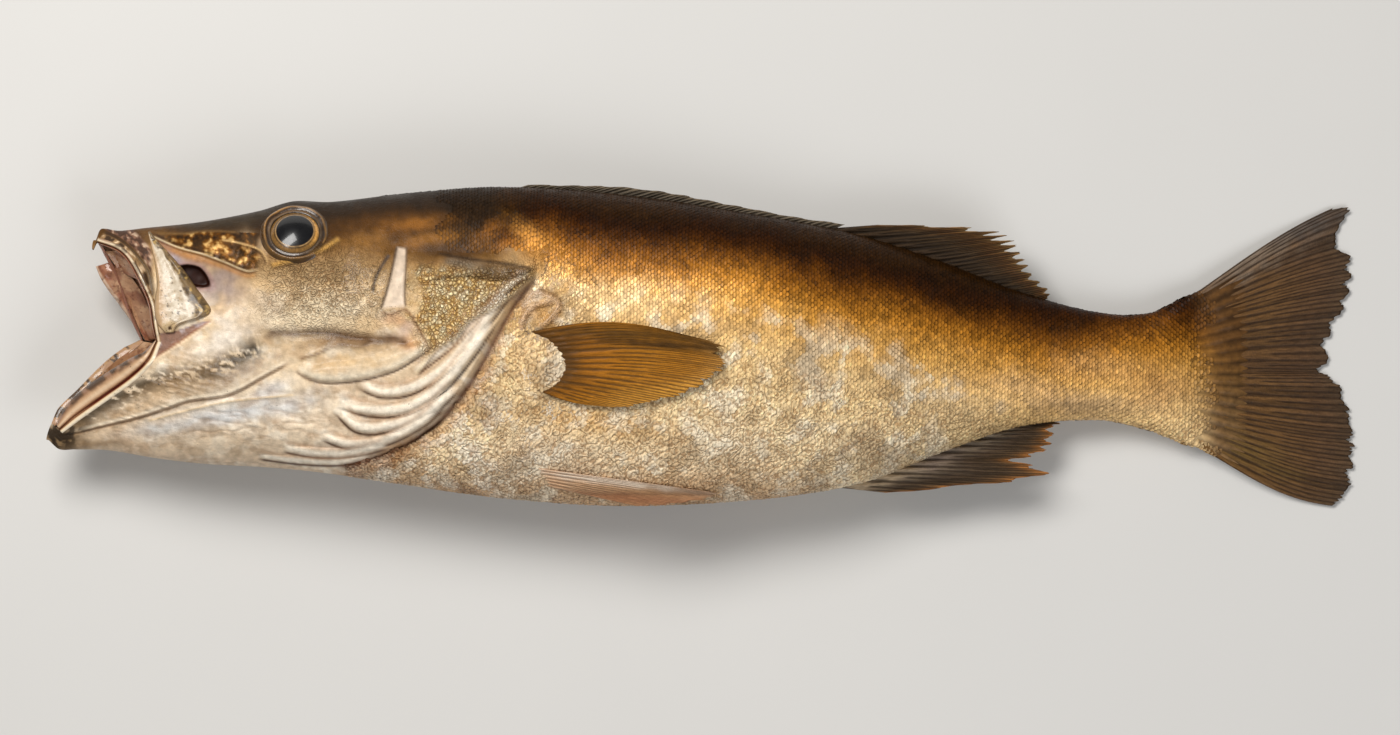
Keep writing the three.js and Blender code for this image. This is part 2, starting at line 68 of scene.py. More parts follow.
# One row for each section: its place, the height of back and belly, the half width,
# the height of the middle plane over the table and the squareness. The last ones taper
# to thin skin over the roots of the tail's rays.
SECTIONS = [
    [-348, 58, -52, 3, 36, 2.0],
    [-344, 63.5, -57, 6.5, 36, 2.0],
    [-338, 64.3, -57.2, 11, 36, 2.0],
    [-325, 63.2, -57.6, 18, 36, 2.1],
    [-305, 65, -61.5, 25, 37, 2.2],
    [-277, 68, -65, 29.5, 37.5, 2.4],
    [-245, 74, -66.8, 33, 38.5, 2.5],
    [-226, 79.3, -68.3, 35, 39, 2.5],
    [-205, 79, -70.7, 36.5, 39.5, 2.5],
    [-165, 83.5, -76.5, 40, 39.5, 2.4],
    [-112, 87, -83.8, 43, 39.5, 2.3],
    [-46, 82.8, -88, 44, 39.5, 2.2],
    [30, 71.5, -84.4, 41.5, 38, 2.15],
    [86, 60.5, -75.6, 34.5, 33, 2.1],
    [130, 46.5, -59, 27, 26.5, 2.1],
    [174, 29.5, -44.5, 19, 20, 2.1],
    [218, 18, -41, 14.5, 15, 2.1],
    [245, 17.5, -46.5, 12, 12.5, 2.1],
    [262, 25, -53, 8.5, 10.5, 2.1],
    [274, 30.5, -57, 3.8, 9.4, 2.0],
    [284, 35.5, -61.5, 1.9, 8.8, 2.0],
    [302, 46, -71, 0.02, 6.3, 2.0],
]
# How far the top and the bottom of a section lean forward of its place, over the jaws.
LEAN = [[-348, 13, -13], [-325, 3, -4], [-305, 0, 0], [274, 0, 0]]
JAW_FRONT, BODY_END = -348, 302
HEAD_END = -70

# The hollow of the mouth: place, roof, floor and half width.
MOUTH = [
    [-345, 50, -42, 1],
    [-336, 52, -48, 6],
    [-322, 51, -51, 13],
    [-303, 46, -53, 18],
    [-277, 38, -53, 22],
    [-245, 26, -48, 22],
    [-218, 8, -32, 12],
]
# The edges of the gape, each from the front of the jaw to the corner of the mouth.
LEFT_UPPER_EDGE = [
    [-334, 58], [-322.5, 54], [-316, 48.5], [-309.5, 38], [-303, 24], [-300.5, 10], [-299, 2],
]
LEFT_LOWER_EDGE = [
    [-354, -47], [-345, -40], [-329, -29], [-314, -18.5], [-304, -9], [-299, 2],
]
RIGHT_UPPER_EDGE = [
    [-334, 57.5], [-331.5, 54], [-328.5, 48.5], [-325.5, 42.5], [-322, 33], [-319, 24],
    [-316, 16], [-313, 9], [-310.5, 2.5],
]
RIGHT_LOWER_EDGE = [
    [-359, -45], [-353, -36.5], [-343.5, -27], [-334, -17], [-325.5, -9], [-316, -2],
    [-310.5, 2.5],
]

EYE_PLACE = (-224.0, 62.0)
EYE_RADIUS, EYE_DEPTH, EYE_PROUD = 15.4, 8.0, 3.0
EYE_TILT = math.radians(34)

# Broad swells of the head: centre, reach along X and Y, and height.
SWELLS = [
    (-224, 58, 26, 20, 9),
    (-185, 20, 34, 34, 2.5),
    (-272, -22, 40, 14, 3.5),
    (-235, -50, 50, 13, 4),
    (-271, 33, 17, 13, -5),
    (-92, -12, 14, 20, 5),
]
SWELL_FADE = 3
COVER_RISE = 4
GILL_EDGE = [
    [-92, 39], [-96, 35], [-105, 23.5], [-115, 6], [-128, -17.5], [-143, -37], [-152, -45],
    [-168, -54.5], [-185, -61], [-204, -66],
]

# ---- Numbers and curves ----


def mix(a, b, share):
    """Straight blend from a to b."""
    return a + (b - a) * share


def unit(value):
    """Keeps a value from 0 to 1."""
    return np.clip(value, 0, 1)


def even(count):
    """Even steps from 0 to 1."""
    return np.linspace(0, 1, count)


def smooth(value, low, high):
    """0 up to low, 1 from high on, and a cubic ease between them."""
    t = unit((value - low) / (high - low))
    return t * t * (3 - 2 * t)


def bell(value, width):
    """A round hump of height 1 that falls to a third at its width."""
    return np.exp(-((value / width) ** 2))


def along(table, at):
    """Smooth curves through the rows of a table, whose first column is the place: cubic
    pieces that take the mean slope of the rows beside them."""
    rows = np.asarray(table, float)
    place, values = rows[:, 0], rows[:, 1:]
    index, last = np.arange(len(rows)), len(rows) - 1
    before, after = np.maximum(index - 1, 0), np.minimum(index + 1, last)
    slope = (values[after] - values[before]) / (place[after] - place[before])[:, None]
    at = np.clip(np.asarray(at, float), place[0], place[-1])
    i = np.clip(np.searchsorted(place, at, side="right") - 1, 0, last - 1)
    span = place[i + 1] - place[i]
    t = (at - place[i]) / span
    s = 1 - t
    start, end = s * s * (1 + 2 * t), t * t * (1 + 2 * s)
    leave, arrive = span * t * s * s, span * t * t * s
    made = values[i] * start[..., None] + values[i + 1] * end[..., None]
    return made + slope[i] * leave[..., None] - slope[i + 1] * arrive[..., None]


def trail(points, count=48):
    """Evenly spread points on the smooth curve through some places of the side view."""
    places = np.asarray(points, float)
    steps = np.hypot(*np.diff(places, axis=0).T)
    length = np.concatenate([[0], np.cumsum(steps)])
    return along(np.column_stack([length, places]), np.linspace(0, length[-1], count))


def beside(x, y, points, reach=30.0):
    """How far places lie to the left of a curve (to its right is negative), and the share
    of the curve's length where they are nearest to it. Beyond reach the answer is FAR."""
    line = trail(points)
    low, high = line.min(0) - reach, line.max(0) + reach
    near = (x > low[0]) & (x < high[0]) & (y > low[1]) & (y < high[1])
    away, share = np.full(x.shape, FAR), np.zeros(x.shape)
    start, step = line[:-1], np.diff(line, axis=0)
    dx, dy = x[near][:, None] - start[:, 0], y[near][:, None] - start[:, 1]
    t = unit((dx * step[:, 0] + dy * step[:, 1]) / (step**2).sum(1))
    ex, ey = dx - t * step[:, 0], dy - t * step[:, 1]
    gap = ex**2 + ey**2
    k = gap.argmin(1)
    pick = np.arange(len(k)), k
    side = step[k, 0] * ey[pick] - step[k, 1] * ex[pick]
    away[near] = np.sqrt(gap[pick]) * np.where(side < 0, -1, 1)
    share[near] = (k + t[pick]) / len(start)
    return away, share


def ends(share, taper):
    """1 along a curve, easing to 0 over a share of its length at both ends."""
    return smooth(share, 0, taper) * smooth(1 - share, 0, taper)


def dice(seed, shape):
    """A table of random numbers from 0 to 1 that is the same on every run."""
    return np.random.default_rng(seed).random(shape)


def cloud(x, y, size, seed):
    """Soft noise from 0 to 1: random numbers on a square grid, eased between."""
    table = dice(seed, (TABLE, TABLE))
    u, v = (0.8 * x + 0.6 * y) / size, (0.8 * y - 0.6 * x) / size
    i, j = np.floor(u).astype(int), np.floor(v).astype(int)
    a, b = smooth(u - i, 0, 1), smooth(v - j, 0, 1)
    at = lambda p, q: table[p % TABLE, q % TABLE]
    return mix(mix(at(i, j), at(i + 1, j), a), mix(at(i, j + 1), at(i + 1, j + 1), a), b)


def clouds(x, y, size, seed):
    """Three octaves of soft noise, from 0 to 1."""
    made = cloud(x, y, size, seed) * 4 + cloud(x, y, size / 2.1, seed + 1) * 2
    return (made + cloud(x, y, size / 4.3, seed + 2)) / 7


def cells(x, y, size, seed):
    """Cell pattern: one strewn point to each square of a grid. Gives how much further the
    second nearest point is than the nearest, and the nearest one's number."""
    spots = dice(seed, (TABLE, TABLE, 3))
    u, v = x / size, y / size
    i, j = np.floor(u).astype(int), np.floor(v).astype(int)
    first, second = np.full(x.shape, 9.0), np.full(x.shape, 9.0)
    number = np.zeros(x.shape)
    for p in (-1, 0, 1):
        for q in (-1, 0, 1):
            spot = spots[(i + p) % TABLE, (j + q) % TABLE]
            gap = np.hypot(i + p + spot[..., 0] - u, j + q + spot[..., 1] - v)
            closer = gap < first
            second = np.where(closer, first, np.minimum(second, gap))
            number = np.where(closer, spot[..., 2], number)
            first = np.where(closer, gap, first)
    return second - first, number


# ---- The body's surface ----


def section(at):
    """Sizes of the sections at some places: lean of top and bottom, top, bottom, half
    width, middle height and squareness."""
    lean, body = along(LEAN, at), along(SECTIONS, at)
    top, bottom, half, middle, square = np.moveaxis(body, -1, 0)
    return at + lean[..., 0], at + lean[..., 1], top, bottom, half, middle, square


def place_through(x, y, upper_lower):
    """The section whose line passes through places of the side view, found by halving.
    upper_lower gives the line's top x, bottom x, top y and bottom y for a place."""
    low, high = np.full(x.shape, float(JAW_FRONT)), np.full(x.shape, float(BODY_END))
    for _ in range(HALVINGS):
        at = (low + high) / 2
        top_x, bottom_x, top, bottom = upper_lower(at)
        beyond = mix(top_x, bottom_x, (top - y) / (top - bottom)) < x
        low, high = np.where(beyond, at, low), np.where(beyond, high, at)
    return low


def body_place(x, y):
    """Place and share from back to belly of the body section through each place."""
    at = place_through(x, y, lambda p: section(p)[:4])
    _, _, top, bottom, *_ = section(at)
    return at, unit((top - y) / (top - bottom))


def gill_edge_at(y):
    """Where the gill cover ends at each height."""
    rows = [[-height, x] for x, height in GILL_EDGE]
    return along(rows, -np.asarray(y, float))[..., 0]


def broad_forms(x, y):
    """The swells of the head and the step at the edge of the gill cover."""
    out = sum(h * np.exp(-(((x - a) / c) ** 2) - ((y - b) / d) ** 2) for a, b, c, d, h in SWELLS)
    edge = smooth(gill_edge_at(y) - x, -0.8, 2.2)
    return out + COVER_RISE * edge * smooth(x, -205, -165) * smooth(52 - y, 0, 12)


def skin_height(at, share, x, y, side, forms):
    """Height over the table of the skin: the section's curved flank and the forms on it,
    which fade out at back and belly. The table flattens the right side."""
    *_, half, middle, square = section(at)
    across = np.abs(1 - 2 * share)
    flank = half * (1 - across**square) ** (1 / square)
    out = flank + forms(x, y) * np.minimum(1, SWELL_FADE * (1 - across))
    return np.maximum(0, middle + side * out)


def height_at(x, y, side=LEFT, forms=broad_forms):
    """Height of the skin over places of the side view."""
    at, share = body_place(x, y)
    return skin_height(at, share, x, y, side, forms)


def share_of_turn(at, turn):
    """Share from back to belly for a turn round the section, 0 at the back, pi at the belly."""
    square = section(at)[-1]
    return (1 - np.sign(np.cos(turn)) * np.abs(np.cos(turn)) ** (2 / square)) / 2


def turn_of_share(at, share):
    """The turn round the section for a share from back to belly."""
    square = section(at)[-1]
    across = 1 - 2 * share
    return np.arccos(np.clip(np.sign(across) * np.abs(across) ** (square / 2), -1, 1))


def skin_points(at, turn, side, forms):
    """Points of the skin for places and turns, as an array of x, y, z."""
    top_x, bottom_x, top, bottom, *_ = section(at)
    share = share_of_turn(at, turn)
    x, y = mix(top_x, bottom_x, share), mix(top, bottom, share)
    return np.stack([x, y, skin_height(at, share, x, y, side, forms)], -1)


# ---- The small forms of the head ----

# Folds of the gill membrane: the crest of each, which slopes up from above and drops below.
GILL_FOLDS = [
    [[-158, -17], [-135, 1], [-117.5, 18.5], [-105, 31], [-94, 39]],
    [[-192, -22], [-176, -28.5], [-158, -26], [-139, -14], [-120, 8], [-103, 30]],
    [[-203, -33], [-184, -38.5], [-163, -38], [-145, -28], [-127, -8], [-112, 14]],
    [[-203, -36], [-190, -47.5], [-170, -47], [-150, -39], [-133, -24]],
    [[-211, -51], [-194, -57], [-174, -54.5], [-153, -44], [-141, -33]],
    [[-232, -58], [-212, -61.5], [-192, -61], [-172, -56]],
    [[-246, -62], [-222, -65], [-200, -65.6], [-182, -62.5]],
]
FOLD_SIZES = [(1.8, 5), (3.6, 7.5), (4.6, 8), (4.4, 7.5), (3.8, 6.5), (3.2, 5.5), (2.4, 4)]
COVER_HEM = [[-225, -13], [-212, -19.5], [-192, -19.5], [-170, -14], [-156, -6], [-147, 1]]
COVER_LINE = [[-158, -17.5], [-146, -2.5], [-135, 4], [-128, 13], [-113, 21], [-101, 30], [-91, 39]]
CHEEK_LINE = [[-241, 7], [-222, 7], [-208, 7.5], [-193, 5], [-178, 3], [-166, 3], [-160, -1]]
HEM_TOP = [[-222.5, -8], [-211.5, -4.7], [-201, -0.3], [-186.7, -0.3], [-180, 3], [-166, 4]]
GROOVE_FRONT = [[-168, 55], [-170.5, 42], [-174, 28], [-177, 19]]
GROOVE_REAR = [[-163, 55], [-163, 42], [-163.5, 28], [-163, 20]]
GROOVE_FOOT = [[-177, 19], [-171, 17.5], [-163, 20], [-155, 9], [-150, -1]]
DARK_STROKE = [[-172, 50], [-177, 42], [-180, 35], [-181, 28]]
JAW_CREASE = [
    [-357, -49], [-345, -47.5], [-333, -44.5], [-310.5, -39], [-293, -33.5], [-282, -30],
    [-260, -26.5], [-239, -15.5], [-225, -8],
]
JAW_BAND = [[-350, -46], [-334, -35.5], [-304, -21], [-280, -16], [-262, -10], [-240, 2]]
JAW_LOWER_LINE = [[-307, -42], [-283, -35.5], [-262, -31], [-240, -28.5], [-222, -27]]
BONE_EDGE = [
    [-304.3, 60.4], [-288.5, 53.6], [-274.7, 49.8], [-262.4, 45.3], [-250, 40.5], [-244, 41.5],
]
BONE_TOP = [[-300, 61.5], [-285, 61.4], [-274.7, 62.8], [-255.5, 62]]
BONE_RIDGE = [[-265, 58], [-254, 55.9], [-242.4, 51.5], [-238.3, 44.3]]
UNDER_EYE = [[-238, 43.5], [-229, 45.5], [-217, 49], [-207, 53.5], [-199, 59]]
UPPER_LIP_FURROW = [[-331, 63], [-321, 58], [-313, 51], [-305.5, 41], [-303, 31], [-302.5, 24]]
SPINE_TOP = [[-147, 50], [-131, 47], [-112, 44.5], [-92, 41]]
SPINE_FOOT = [[-150, 36], [-131, 38], [-112, 36], [-92, 41]]
SHOULDER_FOLDS = [
    [[-92.7, 29.4], [-81.7, 25], [-80, 20.6], [-85, 14], [-90.5, 9.6]],
    [[-81.7, 25], [-94.9, 20.6], [-99.3, 14], [-100.4, 7.4]],
]
# The fold of skin behind the corner of the mouth, under the plate of the jaw.
CORNER_TOP = [[-310, -8], [-303, 2], [-297, 7], [-288, 8.5], [-278, 12], [-269, 14]]
CORNER_FOOT = [[-313, -16], [-300, -6.7], [-290, -0.5], [-279, 7], [-269, 13.6]]
PIT = (-279.5, 38.0)
SNOUT_NOTCH = (-314.5, 61.5)

# Pleats: the crest, its height (a furrow's is negative), the widths of its left and its
# right slope and, where it isn't the usual one, the taper at its ends.
PLEATS = [
    (COVER_LINE, 1.3, 7, 0.9, 0.06),
    (HEM_TOP, 1.3, 1.2, 4, 0.2),
    (CHEEK_LINE, -2.0, 2.6, 2.0, 0.25),
    (JAW_CREASE, 2.0, 8, 0.5, 0.06),
    (JAW_LOWER_LINE, 1.0, 0.8, 0.8),
    (UPPER_LIP_FURROW, -3.4, 1.5, 1.8, 0.08),
    (DARK_STROKE, -1.2, 0.8, 0.8),
    (BONE_EDGE, 1.3, 3.5, 0.6, 0.06),
    (BONE_TOP, 0.6, 1.0, 5),
    (BONE_RIDGE, 0.8, 0.9, 0.9),
    (UNDER_EYE, 1.0, 1.4, 1.1),
    (SPINE_TOP, 0.6, 1.2, 5, 0.05),
    (GROOVE_FRONT, 0.7, 1.4, 1.4),
    (GROOVE_REAR, 0.7, 1.4, 1.4),
    (GROOVE_FOOT, 0.9, 3.0, 1.0, 0.1),
    *((path, 1.3, 1.5, 1.5) for path in SHOULDER_FOLDS),
    (CORNER_FOOT, 1.0, 0.7, 1.6, 0.1),
]


def pleat(away, share, height, above, below, taper=0.15):
    """A fold: it slopes up to its crest from the left and drops away on the right."""
    slope = np.where(away > 0, bell(away, above), bell(away, below))
    return height * slope * ends(share, taper)


def roll(away, share, height, width):
    """A round fold: half an oval that stands on the left of its curve, over a furrow."""
    across = np.clip(away / (width * (0.55 + 0.45 * ends(share, 0.3))), -0.2, 1)
    up = np.sqrt(unit(1 - (2 * np.maximum(across, 0) - 1) ** 2))
    furrow = 0.35 * bell(away + 0.3, 0.8)
    return height * (up - furrow) * ends(share, 0.16) * (np.abs(away) < FAR / 2)


def turned(x, y, centre, reach, angle=0.0):
    """Distance from a centre in reaches, for an oval that is turned by some degrees."""
    a = math.radians(angle)
    dx, dy = x - centre[0], y - centre[1]
    u, v = dx * math.cos(a) + dy * math.sin(a), dy * math.cos(a) - dx * math.sin(a)
    return np.hypot(u / reach[0], v / reach[1])


def pit_distance(x, y):
    """Distance from the middle of the pit behind the plate in reaches: a slanted pit with
    corners, from the sum of two slanted measures."""
    u, v = (x - PIT[0]) * 0.85 - (y - PIT[1]) * 0.53, (x - PIT[0]) * 0.53 + (y - PIT[1]) * 0.85
    return (np.abs(u / 8.6) ** 1.5 + np.abs(v / 4.8) ** 1.5) ** 0.67


def eye_distance(x, y):
    """Distance from the middle of the eye, measured in its own tilted plane."""
    return np.hypot(x - EYE_PLACE[0], (y - EYE_PLACE[1]) / math.cos(EYE_TILT))


def between(x, y, front, rear):
    """Mask of the strip that lies right of one curve and left of another."""
    (a, front_share), (b, rear_share) = beside(x, y, front), beside(x, y, rear)
    inside = smooth(-a, -0.4, 0.4) * smooth(b, -0.4, 0.4) * (np.abs(a) < FAR / 2)
    return inside * ends(front_share, 0.05) * ends(rear_share, 0.05)


def cover_mask(x, y):
    """1 on the gill cover, behind the groove of the cheek and over the folds."""
    below, _ = beside(x, y, COVER_LINE, 70)
    edge = smooth(below, -0.5, 1.0) * (np.abs(below) < FAR / 2)
    front = smooth(x + 10 * (cloud(x, y, 5, 9) - 0.5) - 0.5 * np.maximum(8 - y, 0), -163, -153)
    return edge * front * smooth(47 + 6 * cloud(x, y, 5, 19) - y, 0, 14) * smooth(-90 - x, 0, 4)


def fine_forms(x, y):
    """All that stands out of the plain skin of the head: broad swells, folds, pleats, bones,
    the groove of the cheek, the gill slit, the pit, the eye's socket and small bumps."""
    rolls = [roll(*beside(x, y, fold), *size) for fold, size in zip(GILL_FOLDS, FOLD_SIZES)]
    out = broad_forms(x, y) + np.max(rolls, 0).clip(0) + roll(*beside(x, y, COVER_HEM), 3.4, 11)
    for path, *size in PLEATS:
        out += pleat(*beside(x, y, path), *size)
    jaw, share = beside(x, y, JAW_CREASE)
    out -= pleat(jaw + 0.8, share, 0.7, 0.5, 0.9, 0.1)
    out += 1.2 * between(x, y, SPINE_TOP, SPINE_FOOT)
    out -= 1.9 * between(x, y, GROOVE_REAR, GROOVE_FRONT)
    out -= between(x, y, CORNER_TOP, CORNER_FOOT)
    slit, share = beside(x, y, GILL_EDGE)
    out -= 2.2 * bell(slit - 2.4, 1.6) * ends(share, 0.08) * (slit > -1)
    out -= 6.0 * smooth(1.2 - pit_distance(x, y), 0, 0.25)
    out -= 3.0 * smooth(1.3 - turned(x, y, SNOUT_NOTCH, (6.5, 2.2)), 0, 0.7)
    out -= 6.5 * smooth(EYE_RADIUS + 0.6 - eye_distance(x, y), 0, 3)
    return out + small_forms(x, y)


def small_forms(x, y):
    """Bumps and wrinkles: cells on the gill cover, pits in the bone before the eye,
    wrinkles on the lower jaw and a faint unevenness everywhere."""
    cover, bone = cover_mask(x, y), bone_mask(x, y)
    gap, number = cells(x, y * 1.1, 3.0, 11)
    out = cover * (0.7 * smooth(gap, 0.05, 0.4) + 0.3 * number)
    out += bone * 2.2 * (clouds(x, y, 3.2, 23) - 0.5)
    jaw = np.exp(-turned(x, y, (-285, -18), (48, 11), 32) ** 2)
    out += jaw * 1.5 * (np.abs(clouds(x + 2 * y, y * 2.4, 7.5, 31) - 0.5) * 4 - 0.5)
    cheek = np.exp(-turned(x, y, (-205, 26), (38, 22)) ** 2)
    out += cheek * 0.4 * cells(x, y, 2.4, 41)[0]
    return out - 0.8 * throat_creases(x, y) + 0.9 * (clouds(x, y, 11, 51) - 0.5)


def throat_creases(x, y):
    """Slack wet folds of the throat, from 0 to 1: ridges of stretched noise along the jaw."""
    low = np.exp(-turned(x, y, (-240, -42), (62, 15), 8) ** 2)
    run = np.abs(clouds(x * 0.45 + y, y * 1.7 - x * 0.2, 9, 57) - 0.5) * 6
    return low * bell(run, 0.55)


def bone_mask(x, y):
    """1 on the pitted golden bone in front of the eye."""
    over, _ = beside(x, y, BONE_EDGE)
    under, _ = beside(x, y, BONE_TOP)
    inside = smooth(over, 0, 1) * smooth(-under, -0.5, 1.5) * (np.abs(over) < FAR / 2)
    return inside * smooth(x, -303, -290) * smooth(-241 - x, 0, 5)


def plain_forms(x, y):
    """The forms of the right side and of the trunk: the broad ones, and over the roots of
    the tail's rays an unevenness that fades out where the skin ends."""
    uneven = 1.4 * (clouds(x, y, 5, 53) - 0.5) + 0.45 * tail_roots(x, y)
    return broad_forms(x, y) + uneven * smooth(x, 264, 280) * smooth(302 - x, 2, 16)


def tail_roots(x, y):
    """The roots of the tail's rays under the skin: waves of the angle round the place
    where the rays would meet."""
    return np.cos(102 * np.arctan2(y + 19, np.maximum(x, 220) - 195))


# ---- Colours ----


def tint(red, green, blue):
    """A colour given as it looks on a screen, 0 to 255, as linear light."""
    c = np.array([red, green, blue]) / 255
    return np.where(c <= 0.04045, c / 12.92, ((c + 0.055) / 1.055) ** 2.4)


def over(base, colour, mask):
    """Lays a colour over the base as far as the mask says."""
    return base + (np.asarray(colour) - base) * np.asarray(mask)[..., None]


def lay(colour, *coats):
    """Lays coats over a colour, each given as its colour on screen and its mask."""
    for shade, mask in coats:
        colour = over(colour, tint(*shade), mask)
    return colour


def tones(rows, at):
    """Colours of a scale of tones, whose rows are the place and the colour on screen."""
    return unit(along([[row[0], *tint(*row[1:])] for row in rows], at))


# The line along which the brown of the back turns to gold.
AMBER_LINE = [
    [-348, 60], [-300, 61], [-250, 56], [-190, 55], [-167, 52], [-140, 47], [-122, 48],
    [-106, 57], [-93, 64], [-82, 63], [-68, 56], [-50, 51], [8, 50], [30, 45], [52, 39],
    [74, 33], [96, 29], [118, 22], [140, 17], [162, 12], [184, 6], [206, 6], [228, 10],
    [250, 12], [274, 12],
]
# Tones by the distance under that line, on the trunk and on the head. The dark back is the fish's own brown
# with painted shade of light falling off over it, and the darker last rows at the lower edge of the belly are
# painted shade.
TRUNK_TONES = [
    [-38, 54, 33, 12], [-22, 44, 24, 4], [-13, 44, 20, 2], [-6, 72, 38, 4],
    [0, 112, 66, 14], [7, 148, 94, 26], [14, 184, 124, 44], [26, 216, 160, 80],
    [48, 234, 194, 132], [78, 240, 210, 160], [104, 242, 214, 170], [128, 206, 170, 130],
]
HEAD_TONES = [
    [-26, 38, 25, 12], [-12, 46, 29, 10], [-4, 78, 50, 18], [0, 112, 78, 36],
    [6, 152, 116, 72], [15, 186, 152, 106], [26, 222, 188, 140], [42, 222, 192, 150],
    [60, 226, 202, 168], [92, 232, 212, 184], [122, 214, 188, 158],
]
GOLD_TONES = [[0, 222, 176, 104], [0.5, 248, 214, 146], [1, 255, 242, 200]]
BONE_TONES = [[0.25, 34, 20, 8], [0.45, 74, 46, 16], [0.6, 134, 88, 34], [0.75, 226, 182, 112]]
# Soft patches: middle, reach, turn in degrees, colour and strength.
TRUNK_PATCHES = [
    (-52, 24, 42, 12, -3, (232, 198, 146), 0.8),
    (-94, 58, 15, 5, -38, (206, 142, 62), 0.7),
    (-60, -42, 44, 8, -8, (206, 152, 70), 0.6),
    (-88, -64, 40, 13, 0, (216, 200, 172), 0.55),
    (8, -56, 24, 15, 0, (222, 200, 166), 0.7),
    (62, -16, 30, 9, -12, (230, 198, 146), 0.75),
    (96, -58, 26, 12, 0, (212, 190, 156), 0.6),
    (128, -34, 30, 10, -14, (180, 156, 120), 0.5),
    (176, -22, 26, 7, -8, (186, 152, 110), 0.5),
    (216, -12, 26, 8, -4, (212, 160, 98), 0.7),
    (208, -33, 34, 6, 0, (156, 128, 96), 0.7),
    (252, -24, 18, 12, 0, (170, 118, 66), 0.5),
    (-93, -10, 12, 17, 12, (236, 200, 150), 0.7),
    (-82, -12, 3.5, 14, 12, (150, 104, 52), 0.7),
    (-100, 30, 18, 15, 0, (240, 206, 154), 0.7),
]
HEAD_PATCHES = [
    (-312, 60, 11, 5.5, -25, (72, 46, 26), 0.85),
    (-262, 68, 26, 4, 8, (58, 46, 30), 0.8),
    (-247, 56, 9, 4.5, -32, (206, 176, 138), 0.9),
    (-289, 46.5, 11, 3.2, -48, (150, 142, 160), 0.8),
    (-279, 47, 17, 1.8, -18, (150, 96, 44), 0.7),
    (-266, 33, 17, 11, -20, (150, 132, 126), 0.9),
    (-262, 3, 18, 7, 27, (236, 226, 212), 0.85),
    (-262, 12, 8, 3, -30, (226, 212, 196), 0.8),
    (-246, 17, 14, 12, 0, (212, 190, 164), 0.7),
    # A near-white cheek: the skin's pale colour with a painted highlight.
    (-208, 18, 30, 12, 4, (252, 232, 196), 0.95),
    (-214, 38, 22, 7, 8, (186, 156, 116), 0.4),
    (-262, -18, 34, 7, 22, (140, 112, 80), 0.75),
    (-178, 66, 30, 7, 6, (98, 62, 24), 0.6),
    (-150, 58, 16, 4, 10, (166, 110, 40), 0.6),
    (-182, -21, 26, 7, 8, (186, 156, 122), 0.6),
    (-216, 0, 12, 5, 10, (176, 140, 98), 0.6),
    (-180, 0, 12, 5, 0, (178, 140, 96), 0.6),
    (-140, 24, 16, 14, 30, (232, 194, 136), 0.6),
    (-183, 12, 10, 8, 0, (222, 188, 140), 0.5),
    (-196, 3, 22, 4.5, 0, (128, 90, 48), 0.75),
    (-238, 4, 9, 5, -25, (150, 122, 88), 0.6),
    (-195, -10, 25, 6, 6, (216, 184, 138), 0.7),
    (-160, 8, 9, 9, -20, (200, 170, 148), 0.9),
    (-169, 14, 8, 3.4, 0, (214, 168, 124), 0.8),
    (-162, 1, 7, 3.5, -10, (214, 156, 96), 0.7),
    (-255, -37, 42, 6, 9, (196, 200, 204), 0.75),
    (-300, -46, 18, 4, 8, (190, 192, 194), 0.5),
    (-236, -24, 12, 4, 26, (200, 200, 202), 0.6),
    (-262, -55, 44, 9, 0, (220, 198, 168), 0.6),
    (-352, -52, 10, 7, 0, (88, 68, 44), 0.9),
    (-334, -54, 16, 3, 4, (120, 96, 68), 0.7),
    (-167, -54, 16, 5, 18, (216, 162, 104), 0.5),
    (-128, 28, 20, 9, 20, (212, 176, 112), 0.6),
    (-122, 35, 14, 3.4, -6, (196, 150, 84), 0.5),
    (-129, 43, 10, 3.5, -12, (134, 142, 138), 0.6),
    (-118, 56, 18, 6, 10, (120, 78, 30), 0.5),
    (-158, 66, 16, 4, 6, (150, 96, 34), 0.7),
    (-116, 64, 9, 4, 30, (160, 100, 34), 0.5),
    (-104, 57, 8, 4, -30, (196, 134, 54), 0.5),
    (-184, 58, 12, 5, 0, (150, 104, 48), 0.6),
    (-88, 17, 7, 9, 20, (206, 152, 76), 0.8),
    (-104, -4, 9, 16, -20, (226, 188, 134), 0.6),
    (-98, 6.5, 8, 1.8, 12, (46, 32, 20), 0.9),
    (-92, -25.5, 5, 1.6, 30, (70, 46, 28), 0.85),
]
